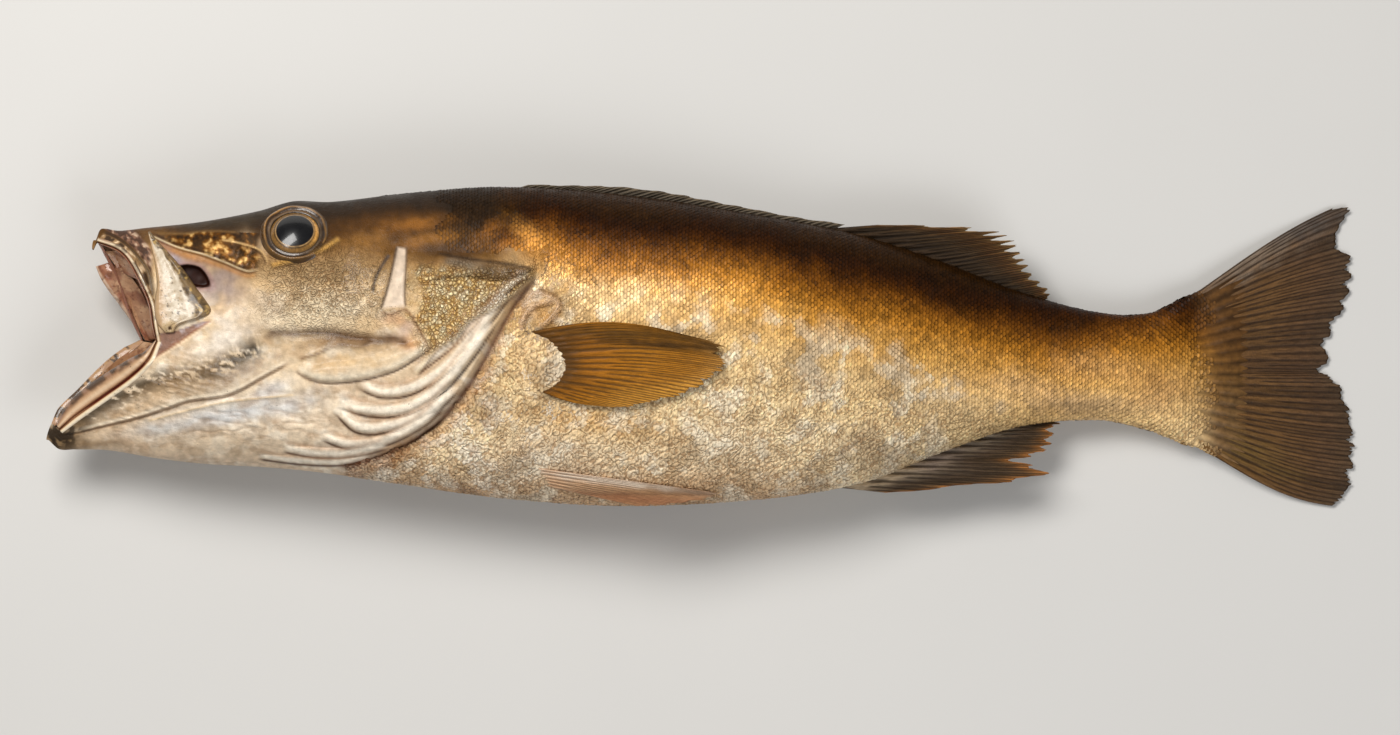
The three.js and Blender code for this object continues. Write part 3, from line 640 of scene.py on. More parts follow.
# Strokes along a curve: the curve, how far to its left, half width, colour and strength. Some are painted
# light: highlights on crests and shade in furrows and under drops, as noted.
SKIN_STROKES = [
    (GILL_EDGE, 5.0, 4.5, (190, 134, 86), 0.4),
    (GILL_EDGE, 2.0, 1.4, (104, 62, 38), 0.85),
    # A painted highlight on the crest of the bone's edge and painted shade under its drop.
    (BONE_EDGE, 0.2, 0.45, (226, 204, 164), 0.85),
    (BONE_EDGE, -1.0, 0.6, (104, 62, 26), 0.85),
    (BONE_EDGE, -2.6, 1.2, (176, 118, 58), 0.6),
    (BONE_EDGE, 1.6, 0.9, (50, 30, 12), 0.8),
    (BONE_TOP, 0, 0.7, (120, 88, 48), 0.6),
    # A painted highlight on the crest of the ridge and painted shade beside it.
    (BONE_RIDGE, 0, 0.6, (214, 176, 120), 0.8),
    (BONE_RIDGE, -1.2, 0.7, (84, 54, 26), 0.7),
    (UNDER_EYE, 0, 1.3, (214, 164, 86), 0.85),
    (UNDER_EYE, -2, 0.8, (110, 80, 44), 0.6),
    # Painted shade in the deep furrow behind the upper lip.
    (UPPER_LIP_FURROW, 0, 1.3, (54, 38, 28), 0.85),
    # Painted shade under the drop of the jaw crease and a painted highlight on its crest.
    (JAW_CREASE, -0.6, 1.1, (140, 104, 74), 0.7),
    (JAW_CREASE, 1.0, 0.9, (240, 224, 198), 0.7),
    (JAW_LOWER_LINE, 0, 0.5, (226, 196, 150), 0.7),
    # Painted shade in the furrow under the hem's roll and a painted highlight on the roll.
    (COVER_HEM, -0.5, 0.8, (92, 60, 36), 0.9),
    (COVER_HEM, 2.2, 2.0, (244, 230, 204), 0.7),
    (HEM_TOP, 0, 1.0, (104, 74, 44), 0.75),
    (CHEEK_LINE, -0.3, 2.4, (74, 44, 20), 0.85),
    (DARK_STROKE, 0, 0.9, (74, 70, 72), 0.85),
    (GROOVE_FRONT, 0, 0.7, (104, 84, 66), 0.8),
    (GROOVE_REAR, 0, 0.7, (104, 84, 66), 0.8),
    (GROOVE_FOOT, -0.6, 0.8, (132, 88, 56), 0.7),
    # A painted highlight on the crest of the cover line and painted shade under its drop.
    (COVER_LINE, 0.8, 0.9, (222, 202, 164), 0.7),
    (COVER_LINE, -0.9, 0.8, (110, 82, 56), 0.7),
    (SPINE_TOP, 0.6, 0.9, (56, 40, 26), 0.8),
    (SPINE_FOOT, -0.4, 0.7, (96, 74, 48), 0.7),
    *((path, 0, 1.0, (222, 184, 146), 0.8) for path in SHOULDER_FOLDS),
    *((path, 2, 1.0, (120, 76, 36), 0.6) for path in SHOULDER_FOLDS),
]
CORNER_STROKES = [
    (CORNER_FOOT, 0.6, 1.0, (150, 92, 62), 0.7),
    (CORNER_FOOT, -0.5, 0.9, (232, 204, 168), 0.85),
]


def lay_patches(colour, x, y, patches, seed):
    """Lays soft patches over a colour, with cloudy edges."""
    for k, (a, b, reach_x, reach_y, turn, shade, strength) in enumerate(patches):
        gap = turned(x, y, (a, b), (reach_x, reach_y), turn)
        near = gap < 2.5
        edge = gap[near] + 0.55 * (cloud(x[near], y[near], 5, seed + k) - 0.5)
        mask = np.zeros(x.shape)
        mask[near] = strength * np.exp(-np.maximum(edge, 0) ** 2.4)
        colour = over(colour, tint(*shade), mask)
    return colour


def lay_strokes(colour, x, y, strokes, taper=0.06):
    """Lays lines of colour along curves, faded at their ends."""
    for path, offset, width, shade, strength in strokes:
        away, share = beside(x, y, path, abs(offset) + 4 * width)
        mask = strength * bell(away - offset, width) * ends(share, taper)
        colour = over(colour, tint(*shade), mask)
    return colour


def under_amber(x, y):
    """How far places lie under the amber line, with a cloudy waver."""
    return along(AMBER_LINE, x)[..., 0] - y + 9 * (clouds(x, y, 13, 61) - 0.5)


def trunk_paint(x, y, z):
    """Colour of the scaled body: tones from back to belly, soft patches and mottling,
    whose places run on round the belly by half the height."""
    under, drift = under_amber(x, y), y + 0.5 * z
    low = smooth(under, 14, 40) * smooth(190 - x, 0, 70)
    return lay(
        lay_patches(tones(TRUNK_TONES, under), x, y, TRUNK_PATCHES, 300),
        ((240, 228, 204), 0.62 * low * smooth(clouds(x, drift, 10, 71), 0.48, 0.74)),
        ((150, 120, 82), 0.45 * low * smooth(clouds(x + 40, drift, 13, 81), 0.48, 0.74)),
        ((106, 72, 36), 0.9 * smooth(x, 264, 286)),
        ((40, 22, 6), 0.5 * smooth(-under, -6, 8) * smooth(clouds(x, drift, 8, 91), 0.55, 0.75)),
    )


def head_paint(x, y, z):
    """Colour of the head, with painted highlights on some crests and painted shade in its furrows, creases
    and hollows; its masks for flecks, gold and pebbles; and its grain: how much it winds, how much it
    wrinkles and how wet it is."""
    under, slit = under_amber(x, y), beside(x, y, GILL_EDGE, 90)[0]
    behind = smooth(slit, 0, 5) * smooth(x, -210, -190)
    behind = np.maximum(behind, smooth(x, -106, -92) * smooth(y, 36, 42))
    behind = np.where(slit > FAR / 2, x > -120, behind)
    cover, bone = cover_mask(x, y), bone_mask(x, y)
    slack = smooth(under, 16, 40) * (1 - cover)
    colour = lay(
        over(tones(HEAD_TONES, under), trunk_paint(x, y, z), behind),
        ((244, 232, 212), 0.6 * slack * smooth(clouds(x * 1.2, y * 1.6, 9, 43), 0.48, 0.66)),
        ((156, 118, 80), 0.4 * slack * smooth(clouds(x, y * 1.5, 7, 45), 0.54, 0.7)),
    )
    colour = lay_patches(colour, x, y, HEAD_PATCHES, 500)
    gap, number = cells(x, y * 1.1, 3.0, 11)
    gold = 0.92 * cover * smooth(46 - y, 0, 8) * smooth(gap, -0.1, 0.25)
    dull = 0.3 * cover * smooth(y, 26, 40) * smooth(clouds(x * 2, y * 0.7, 5, 14), 0.5, 0.65)
    colour = lay(
        over(colour, tones(GOLD_TONES, number), gold),
        ((150, 110, 60), 0.4 * cover * smooth(0.22 - gap, 0, 0.2)),
        ((122, 116, 96), dull),
    )
    colour = over(colour, tones(BONE_TONES, clouds(x, y, 3.2, 23)), 0.92 * bone)
    away, share = beside(x, y, JAW_BAND, 20)
    band = bell(away, 6.5) * ends(share, 0.06)
    smear = 0.5 * clouds(x + 2 * y, y * 2.4, 7.5, 31) + 0.5 * clouds(x * 1.2 + y, y * 2, 3, 33)
    cheek = np.exp(-turned(x, y, (-208, 30), (46, 20)) ** 3)
    throat = np.exp(-turned(x, y, (-238, -46), (70, 20), 4) ** 4)
    groove = between(x, y, GROOVE_REAR, GROOVE_FRONT)
    spine = between(x, y, SPINE_TOP, SPINE_FOOT) * smooth(x, -146, -116)
    colour = lay(
        colour,
        ((38, 32, 24), 0.95 * band * smooth(smear, 0.35, 0.48)),
        ((176, 140, 96), 0.55 * np.exp(-turned(x, y, (-305, -30), (44, 8), 30) ** 2)),
        ((130, 98, 60), 0.35 * cheek * smooth(clouds(x, y, 7, 37), 0.46, 0.66)),
        ((150, 122, 92), 0.5 * throat * smooth(clouds(x, y * 1.6, 10, 47), 0.5, 0.68)),
        # Painted shade along the creases of the throat.
        ((136, 106, 78), 0.45 * throat_creases(x, y)),
        ((218, 198, 176), 0.9 * groove),
        ((118, 92, 62), 0.8 * spine),
    )
    # Painted light on each gill fold: shade on the slope where it goes under the fold above, a highlight on
    # its crest and shade in the furrow at its foot.
    for fold, (_, width) in zip(GILL_FOLDS, FOLD_SIZES):
        strokes = [
            (fold, width * 0.95, 1.4, (176, 138, 106), 0.5),
            (fold, width * 0.45, width * 0.3, (248, 236, 216), 0.85),
            (fold, -0.3, 0.7, (74, 44, 26), 0.95),
        ]
        colour = lay_strokes(colour, x, y, strokes, 0.08)
    colour = lay_strokes(colour, x, y, SKIN_STROKES)
    corner, pit = between(x, y, CORNER_TOP, CORNER_FOOT), pit_distance(x, y)
    colour = lay(
        colour,
        ((132, 96, 80), 0.95 * corner),
        ((186, 172, 172), 0.8 * corner * smooth(clouds(x, y, 6, 87), 0.48, 0.6)),
    )
    colour = lip_band_paint(lay_strokes(colour, x, y, CORNER_STROKES), x, y)
    chin = np.exp(-turned(x, y, (-356, -50), (17, 10), 20) ** 4)
    colour = lay(
        colour,
        ((150, 118, 112), 0.8 * smooth(1.9 - pit, 0, 0.6)),
        # Near black in the pit: painted shade in the hollow.
        ((44, 18, 9), smooth(1.25 - pit, 0, 0.15)),
        ((120, 96, 66), 0.8 * chin),
        ((40, 30, 20), 0.95 * chin * smooth(clouds(x, y, 4, 67), 0.36, 0.52)),
        # Painted shade round the foot of the eye's ring.
        ((60, 42, 22), 0.8 * smooth(19.5 - eye_distance(x, y), 0, 2.5)),
    )
    upper = np.exp(-turned(x, y, (-206, 30), (46, 25)) ** 2.4)
    low = smooth(-12 - y, 0, 12) * smooth(x, -345, -325)
    slick = np.exp(-turned(x, y, (-262, 34), (20, 15), -20) ** 4)
    rough = 1 - np.maximum(slick, np.maximum(smooth(1.9 - pit, 0, 0.5), groove))
    fleck = 0.22 + 0.5 * upper * (1 - cover) + 0.55 * band + 0.3 * behind + 0.15 * low
    pebble = unit(cover + 0.3 * upper + 0.2 * behind) * rough
    worm = np.maximum(0.05, 0.9 * upper - 0.1) * (1 - bone) + 0.35 * behind
    wet = (1 - smooth(1.4 - pit, 0, 0.3)) * mix(0.15, 1, smooth(under, 0, 22))
    masks = np.stack([unit(fleck), unit(bone + 0.08 * cover), pebble], -1)
    grain = np.stack([worm * (1 - cover) * rough, (0.35 + 0.65 * upper) * rough, wet], -1)
    return colour, masks, grain


def lip_band_paint(colour, x, y):
    """The mottled outer lip of the upper jaw and the pink flesh between it and the plate."""
    edge, share = beside(x, y, UPPER_LIP_FURROW)
    near = (np.abs(edge) < FAR / 2) * ends(share, 0.04)
    band = near * smooth(-edge, 0.6, 1.4) * smooth(9 + edge, 0, 2)
    flesh = near * smooth(edge, 0.8, 1.6) * smooth(9 - edge, 0, 2) * smooth(-303 - x, -2, 2)
    spots = clouds(x, y, 2.6, 77)
    return lay(
        colour,
        ((150, 118, 82), 0.95 * band),
        ((66, 48, 32), band * smooth(spots, 0.5, 0.62)),
        ((214, 186, 150), band * smooth(0.4 - spots, 0, 0.08)),
        ((134, 98, 78), 0.95 * flesh),
        ((62, 42, 32), 0.85 * flesh * smooth(spots, 0.46, 0.58)),
        ((210, 182, 154), 0.8 * flesh * smooth(0.42 - spots, 0, 0.08)),
    )


# ---- Meshes ----


def grid_faces(rows, columns, wrap=False):
    """Quads of a grid of points kept row by row. Wrap joins the last column to the first."""
    i = np.arange(rows - 1)[:, None] * columns
    j = np.arange(columns if wrap else columns - 1)[None, :]
    after = (j + 1) % columns
    corners = [i + j, i + after, i + columns + after, i + columns + j]
    return np.stack(np.broadcast_arrays(*corners), -1).reshape(-1, 4)


def shell_faces(rows, columns):
    """Quads of a closed thin shell: an upper grid, then a lower one, joined at their rims."""
    size = rows * columns
    top = grid_faces(rows, columns)
    index = np.arange(size).reshape(rows, columns)
    rim = np.concatenate([index[0, :], index[1:, -1], index[-1, -2::-1], index[-2:0:-1, 0]])
    after = np.roll(rim, -1)
    walls = np.stack([rim, rim + size, after + size, after], -1)
    return np.concatenate([top, top[:, ::-1] + size, walls])


def two_faces(x, y, heights, lowest):
    """The upper and the lower face of a thin shell, each kept over its lowest height."""
    return np.stack([np.stack([x, y, np.maximum(*z)], -1) for z in zip(heights, lowest)])


def put_object(name, data):
    """A new object in the scene."""
    made = bpy.data.objects.new(name, data)
    bpy.context.scene.collection.objects.link(made)
    return made


def put_piece(
    name, points, faces, material, slot, paint, masks=None, grain=None,
    weld=False, away_from=None, replaces=(),
):
    """Makes a piece from points in millimetres and quads. Colours, masks and grain are
    kept as attributes of its points. Weld joins points that coincide and turns the faces
    of a closed shell outwards; away_from is a place that an open sheet's faces look away
    from."""
    points, faces = points.reshape(-1, 3), np.asarray(faces)
    if away_from is not None:
        a, b, c = (points[faces[:, k]] for k in (0, 1, 2))
        outward = (np.cross(b - a, c - a) * ((a + c) / 2 - np.array(away_from))).sum()
        faces = faces if outward > 0 else faces[:, ::-1]
    mesh = bpy.data.meshes.new(name)
    mesh.vertices.add(len(points))
    mesh.vertices.foreach_set("co", (points * MM).ravel())
    mesh.loops.add(faces.size)
    mesh.loops.foreach_set("vertex_index", faces.ravel())
    mesh.polygons.add(len(faces))
    mesh.polygons.foreach_set("loop_start", np.arange(0, faces.size, faces.shape[1]))
    mesh.update(calc_edges=True)
    add_values(mesh, "paint", paint)
    add_values(mesh, "masks", masks)
    add_values(mesh, "grain", grain)
    if weld:
        weld_shell(mesh)
    mesh.shade_smooth()
    mesh.materials.append(material)
    piece = put_object(name, mesh)
    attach(piece, "root")
    if replaces:
        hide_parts(*replaces)


def add_values(mesh, name, values):
    """Keeps three numbers for each point of a mesh as a colour attribute."""
    if values is None:
        return
    full = np.ones((len(mesh.vertices), 4))
    full[:, :3] = np.broadcast_to(np.asarray(values, float).reshape(-1, 3), (len(full), 3))
    attribute = mesh.color_attributes.new(name, "FLOAT_COLOR", "POINT")
    attribute.data.foreach_set("color", full.ravel())


def weld_shell(mesh):
    """Merges the points of a closed shell that coincide, and turns its faces outwards."""
    shell = bmesh.new()
    shell.from_mesh(mesh)
    bmesh.ops.remove_doubles(shell, verts=shell.verts, dist=1e-6)
    bmesh.ops.recalc_face_normals(shell, faces=shell.faces)
    shell.to_mesh(mesh)
    shell.free()


# ---- Head and trunk ----


def mouth_line(at):
    """The line of each section of the mouth's hollow: top x, bottom x, roof and floor."""
    top_x, bottom_x, *_ = section(at)
    hollow = along(MOUTH, at)
    return top_x, bottom_x, hollow[..., 0], hollow[..., 1]


def edge_shares(at, edge, line, corner):
    """The share from top to bottom at which an edge of the gape crosses each section, and
    the share of the mouth's corner behind it."""
    x, y = trail(edge, 160).T
    place = place_through(x, y, line)
    _, _, top, bottom = line(place)
    order = np.argsort(place)
    share = unit((top - y) / (top - bottom))
    return np.interp(at, place[order], share[order], right=corner)


def corner_share(edge, line):
    """Place and share of the corner of the mouth, where both edges of the gape end."""
    x, y = (np.array([value]) for value in edge[-1])
    place = place_through(x, y, line)
    _, _, top, bottom = line(place)
    return place[0], float(unit((top - y) / (top - bottom))[0])


def head_sheet(side, spacing, columns, forms, upper_edge, lower_edge):
    """The skin of one side of the head: sections from the tips of the jaws to the gill
    slit, each run from the back to the gape and from the gape to the belly. Both runs
    share their points behind the corner of the mouth. Gives points and quads."""
    line = lambda p: section(p)[:4]
    place, share = corner_share(upper_edge, line)
    rows = int((HEAD_END - JAW_FRONT) / spacing)
    at = np.sort(np.append(np.linspace(JAW_FRONT, HEAD_END, rows), place))
    upper = turn_of_share(at, edge_shares(at, upper_edge, line, share))
    lower = turn_of_share(at, edge_shares(at, lower_edge, line, share))
    across = even(columns)
    turns = np.concatenate([upper[:, None] * across, mix(lower[:, None], np.pi, across)], 1)
    points = skin_points(np.broadcast_to(at[:, None], turns.shape), turns, side, forms)
    cap = points[:1].copy()
    cap[..., 0] -= 1.5 * np.sin(np.pi * np.concatenate([across, across])).clip(0.02) ** 0.3
    cap[..., 2] = section(np.array([JAW_FRONT]))[5]
    points = np.concatenate([cap, points])
    count = len(points)
    faces = grid_faces(count, 2 * columns).reshape(count - 1, 2 * columns - 1, 4)
    faces = np.delete(faces, columns - 1, 1).reshape(-1, 4)
    index = np.arange(count * 2 * columns).reshape(count, 2 * columns)
    behind = np.concatenate([[False], at >= place - 1e-6])
    index[behind, columns] = index[behind, columns - 1]
    return points, index.ravel()[faces]


def used_only(points, faces):
    """Leaves out the points that no face uses."""
    points = points.reshape(-1, 3)
    used = np.unique(faces)
    place = np.zeros(len(points), int)
    place[used] = np.arange(len(used))
    return points[used], place[faces]


def trunk_tube(spacing, columns):
    """The plain skin under the scales: closed rings round both sides of the trunk from
    the end of the head's skin to the root of the tail fin, where they close to a point."""
    at = np.linspace(HEAD_END - 1, BODY_END, int((BODY_END - HEAD_END) / spacing))[:, None]
    turn = np.linspace(0, np.pi, columns)[None, :]
    at, turn = np.broadcast_arrays(at, turn)
    left = skin_points(at, turn, LEFT, plain_forms)
    right = skin_points(at, turn, RIGHT, plain_forms)[:, -2:0:-1]
    rings = np.concatenate([left, right], 1)
    tip = np.broadcast_to(rings[-1:].mean(1, keepdims=True), rings[-1:].shape)
    return np.concatenate([rings, tip])


# ---- Scales ----

SCALE_ACROSS = np.linspace(-0.5, 0.5, 5)
# Rows of a scale from front to rear: place, height and how much lighter it is painted: painted shade at the
# buried front and the foot of the rear wall, a painted highlight on the rim.
FINE_ROWS = np.array([
    [-0.55, -0.1, -0.85], [0.45, 0.6, 0.15], [0.97, 1.0, 0.55], [1, -0.15, -0.4],
])
PLAIN_ROWS = np.array([[-0.55, -0.1, -0.7], [0.97, 1.0, 0.35], [1, -0.15, -0.4]])
# How strong, by the distance under the amber line, both the scales' own tones and their painted shade and
# highlight are.
HARSH = [[-30, 0.6], [-5, 0.9], [15, 0.95], [40, 0.62], [80, 0.42], [130, 0.36]]


def scale_places(side, low, high, pitch, keep):
    """Where the scales sit: columns along the body, each with a scale every pitch round the
    section, every other column moved by half a pitch, so that they lie in slanted rows, and
    the rows wander. keep says which places of the side view have scales. Gives places and
    turns."""
    stations = np.arange(low, high, pitch * 0.63)
    turn = np.linspace(0.02, np.pi - 0.02, 260)
    at = np.broadcast_to(stations[:, None], (len(stations), len(turn)))
    rings = skin_points(at, np.broadcast_to(turn, at.shape), side, plain_forms)
    steps = np.linalg.norm(np.diff(rings[..., 1:], axis=1), axis=-1)
    arc = np.concatenate([np.zeros((len(stations), 1)), np.cumsum(steps, 1)], 1)
    places, turns = [], []
    for k, station in enumerate(stations):
        middle = np.interp(np.pi / 2, turn, arc[k])
        count = int(arc[k, -1] / pitch) + 2
        wanted = middle + (np.arange(-count, count) + 0.5 * (k % 2)) * pitch
        here = np.full(len(wanted), station)
        wanted = wanted + 1.2 * (cloud(here, wanted, 13, 601) - 0.5)
        inside = (wanted > 0) & (wanted < arc[k, -1])
        here, wanted = here[inside], wanted[inside]
        places.append(here + 1.1 * (cloud(here, wanted, 11, 603) - 0.5))
        turns.append(np.interp(wanted, arc[k], turn))
    places, turns = np.concatenate(places), np.concatenate(turns)
    middle = skin_points(places, turns, side, plain_forms)
    kept = keep(middle[:, 0], middle[:, 1])
    return places[kept], turns[kept]


def left_scaled(x, y):
    """Where the left side has scales: behind the gill slit and over the nape, as far as a
    ragged edge on the roots of the tail, but not on the bare folds of the shoulder."""
    behind = x > gill_edge_at(y) + 3.5 + 4.5 * cloud(x, y, 4, 6)
    nape = (y > 50 + 6 * cloud(x, y, 9, 7)) & (x > -166 + 34 * cloud(x, y, 9, 8))
    folds = turned(x, y, (-88, 19), (12, 12)) < 1
    ahead = x < 266 + 26 * cloud(x, y, 6, 9)
    return (nape | behind) & ~folds & ahead


def right_scaled(x, y):
    """Where the right side has scales."""
    return x > np.where(y > 40, -178, gill_edge_at(y) + 4.5)


def slackness(x, y):
    """How slack and winding the skin is: not in the gold band, wholly on the belly."""
    under = under_amber(x, y)
    return np.maximum(smooth(under, 34, 64), 0.6 * smooth(-50 - x, 0, 30) * smooth(under, 4, 16))


def scale_tiles(side, places, turns, pitch, lift, rows, seed):
    """Scales as small shields: each runs back from a buried front edge to a raised, rounded
    rear rim, and down again to the skin. Every scale is turned, moved, tilted and toned by
    chance, the more so the slacker the skin. Gives points, quads, colours and masks."""
    place = lambda ahead, down: skin_points(places + ahead, turns + down, side, plain_forms)
    middle = place(0, 0)
    ahead, down = place(0.4, 0) - middle, place(0, 0.01) - middle
    ahead /= np.linalg.norm(ahead, axis=1, keepdims=True) + 1e-9
    down -= (down * ahead).sum(1, keepdims=True) * ahead
    down /= np.linalg.norm(down, axis=1, keepdims=True) + 1e-9
    out = side * np.cross(down, ahead)
    chance = dice(seed, (len(places), 6)) - 0.5
    slack = slackness(middle[:, 0], middle[:, 1])[:, None]
    twist = chance[:, :1] * (0.2 + 0.7 * slack)
    cos, sin = np.cos(twist), np.sin(twist)
    ahead, down = ahead * cos + down * sin, down * cos - ahead * sin
    b, rise = SCALE_ACROSS, rows[:, 1:2]
    rim = 0.62 - 1.3 * b**2
    run = np.stack([np.full(5, -0.55), *[rim * s for s in rows[1:-1, 0]], rim + 0.04])
    by_scale = chance[:, :, None, None]
    size = pitch * (0.9 + 0.3 * by_scale[:, 1])
    lean = lift * by_scale[:, 3] * b * (rise > 0.1)
    u, v = run * size, 1.12 * b * np.where(rows[:, :1] < 0, 0.8, 1) * size
    w = lift * (1 + 0.7 * by_scale[:, 2]) * rise * (1 - 1.6 * b**2) + lean
    shift = pitch * (0.08 + 0.24 * slack) * chance[:, 4:6]
    points = (middle + ahead * shift[:, :1] + down * shift[:, 1:])[:, None, None]
    for way, length in ((ahead, u), (down, v), (out, w)):
        points = points + way[:, None, None] * length[..., None]
    points[..., 2] = np.maximum(points[..., 2], 0)
    tile = grid_faces(len(rows), 5)
    faces = (np.arange(len(places))[:, None, None] * len(rows) * 5 + tile).reshape(-1, 4)
    return points, faces, *scale_colours(middle, rows, chance, points.shape)


def scale_colours(middle, rows, chance, shape):
    """Colour of every point of the scales: the body's colour at the scale's middle, with painted shade
    towards the buried front and the corners and a painted highlight at the rim, and a tone of its own. The
    masks are how wet, how gold and how slack it is."""
    x, y, z = middle.T
    base = over(trunk_paint(x, y, z), head_paint(x, y, z)[0], smooth(-108 - x, 0, 12))
    under = under_amber(x, y)
    harsh = along(HARSH, under)[..., 0]
    tone = 1 + harsh * 0.5 * (cloud(x, y, 2.3, 17) - 0.5) + 0.5 * harsh * chance[:, 0]
    # Painted shade at the front and corners of each scale, a painted highlight on its rim.
    gain = 1 + harsh[:, None, None] * (rows[:, 2:] - 1.7 * SCALE_ACROSS**2)
    value = base[:, None, None] * (tone[:, None, None] * gain)[..., None]
    wet, gold = mix(0.12, 1, smooth(under, 0, 24)), bell(under - 22, 26)
    kinds = np.stack([wet, gold, slackness(x, y)], -1)
    return unit(value), np.broadcast_to(kinds[:, None, None], shape)


# ---- Mouth ----


def lining_height(x, y, side):
    """Height of the hollow's wall over places of the side view."""
    at = place_through(x, y, mouth_line)
    roof, floor, half = np.moveaxis(along(MOUTH, at), -1, 0)
    share = unit((roof - y) / (roof - floor))
    return section(at)[5] + side * half * 2 * np.sqrt(share * (1 - share))


# Across a lip, from the skin over the lip's bead into the mouth: share, offset away from
# the gape, offset in lip widths, lift and how far it has gone down to the lining.
LIP_PROFILE = [
    [0.00, 1.8, 0, -0.5, 0], [0.08, 1.3, 0, 0.3, 0], [0.16, 0.5, 0, 0.75, 0],
    [0.24, -0.2, 0, 0.7, 0], [0.30, -0.7, 0, 0.0, 0.02], [0.35, -0.95, 0, -1.2, 0.05],
    [0.40, -1.2, -0.02, -1.4, 0.08], [0.46, -1.3, -0.12, 0.1, 0.1], [0.56, -1.2, -0.42, 1.0, 0.18],
    [0.66, -1.1, -0.74, 0.7, 0.32], [0.75, -0.9, -0.95, 0, 0.48], [0.82, -0.5, -1.0, 0, 0.64],
    [0.89, 0, -0.8, 0, 0.8], [0.95, 0.5, -0.3, 0, 0.93], [1.00, 0.9, 0, 0, 1],
]
LEFT_LOWER_LIP = [[0, 4.0], [0.2, 9.5], [0.5, 10.5], [0.75, 8.5], [0.9, 4.5], [1, 1.2]]
LIP_STEPS = 130


def lip_loop():
    """One closed line round the gape: the left upper edge from the corner to the snout,
    over to the right side and back along its upper and lower edges, and so to the chin.
    Gives x, y, the side from 1 to -1, the way off the gape, the width of the inner band,
    the scale of the bead and which of the four lips it is."""
    n, over_steps = LIP_STEPS, 9
    t = even(n)
    taper = np.minimum(1, 8 * t * (1 - t))
    low = along(LEFT_LOWER_LIP, t)[..., 0]
    runs = [
        (trail(LEFT_UPPER_EDGE, n)[::-1], LEFT, -1, 1.2 * taper + 0.4, 1.0),
        (trail(RIGHT_UPPER_EDGE, n), RIGHT, 1, 0.8 * taper + 0.3, 0.45),
        (trail(RIGHT_LOWER_EDGE, n)[::-1], RIGHT, 1, 2.4 * taper + 0.4, 0.9),
        (trail(LEFT_LOWER_EDGE, n), LEFT, -1, low, 1.0 + 0.2 * taper),
    ]
    parts = []
    for k, (line, side, turn, width, bead) in enumerate(runs):
        step = np.gradient(line, axis=0)
        way = turn * np.stack([-step[:, 1], step[:, 0]], -1)
        way /= np.linalg.norm(way, axis=1, keepdims=True)
        parts.append((line, np.full(n, float(side)), way, width, np.full(n, bead), np.full(n, k)))
        if k in (0, 2):
            s = even(over_steps + 2)[1:-1]
            place = mix(line[-1], runs[k + 1][0][0], s[:, None])
            up = np.broadcast_to((0.0, 1.0) if k == 0 else (0.0, -1.0), (over_steps, 2))
            same = np.ones(over_steps)
            parts.append((place, side * np.cos(np.pi * s), up, 0.6 * same, 0.45 * same, k * same))
    return [np.concatenate(part) for part in zip(*parts)]


def lip_points():
    """The lips: the profile of a lip carried round the gape, from the skin to the lining.
    Gives points, the share across the lip and which lip it is."""
    places, sides, ways, widths, beads, kinds = lip_loop()
    share = even(34)
    fixed, wide, lift, drop = np.moveaxis(along(LIP_PROFILE, share), -1, 0)
    offset = fixed * beads[:, None] + wide * widths[:, None]
    x, y = (places[:, k : k + 1] + ways[:, k : k + 1] * offset for k in (0, 1))
    edge_x, edge_y = (
        places[:, k : k + 1] + ways[:, k : k + 1] * np.maximum(offset, 0) for k in (0, 1)
    )
    left = height_at(edge_x, edge_y, LEFT, fine_forms)
    right = height_at(edge_x, edge_y, RIGHT, plain_forms)
    walls = lining_height(x, y, LEFT), lining_height(x, y, RIGHT)
    weight = ((1 + sides) / 2)[:, None]
    skin, wall = mix(right, left, weight), mix(walls[1], walls[0], weight)
    uneven = 1.1 * (clouds(x, y, 7, 201) - 0.5) * smooth(share, 0.35, 0.5)
    z = skin + sides[:, None] * lift * beads[:, None] - drop * (skin - wall) + uneven
    return np.stack([x, y, np.maximum(z, 0.3)], -1), share, kinds


# Where the roof of the hollow ends on the right, behind the folds of the palate.
ROOF_END = [[-334, 56], [-328.5, 50], [-323.5, 42], [-320, 33], [-317, 24], [-314, 14], [-309, 3]]
# Folds of flesh inside the upper jaw: outer and inner edge of each, from front to back.
PALATE_FOLDS = [
    (
        [[-333.4, 57.4], [-332, 54.6], [-329.8, 50.8], [-327.4, 46.3], [-324.6, 41.6]],
        [[-333, 60.5], [-324.5, 55], [-318, 49.5], [-312.5, 42.5], [-309, 35]],
        0.62,
    ),
    (
        [
            [-335.4, 43.6], [-333, 37.4], [-329, 30.6], [-323.5, 23], [-319, 16.5],
            [-314, 9.5], [-310, 3],
        ],
        [[-328.5, 45.8], [-319, 41], [-312.5, 33], [-307.5, 23.5], [-304, 13], [-301, 3.5]],
        0.3,
    ),
]


def palate_fold(outer, inner, depth, rows=70, columns=40):
    """A fold of flesh between two edges as a thin shell: it rises from the right skin at
    its outer edge to a share of the way up to the left skin, with soft folds along it."""
    u, v = np.meshgrid(even(rows), even(columns), indexing="ij")
    a, b = trail(outer, rows), trail(inner, rows)
    x, y = (mix(a[:, None, k], b[:, None, k], v) for k in (0, 1))
    low, high = (height_at(x, y, side, plain_forms) for side in (RIGHT, LEFT))
    rise = depth * (0.12 + 0.88 * v**0.8)
    wave = 2.6 * (clouds(v * 16, u * 30, 8, 231) - 0.5) + 1.2 * bell(v - 0.08, 0.09)
    top = low + rise * (high - low) * smooth(u, -0.05, 0.15) + wave
    return two_faces(x, y, (top, top - 1.4), (2, 1)), u, v


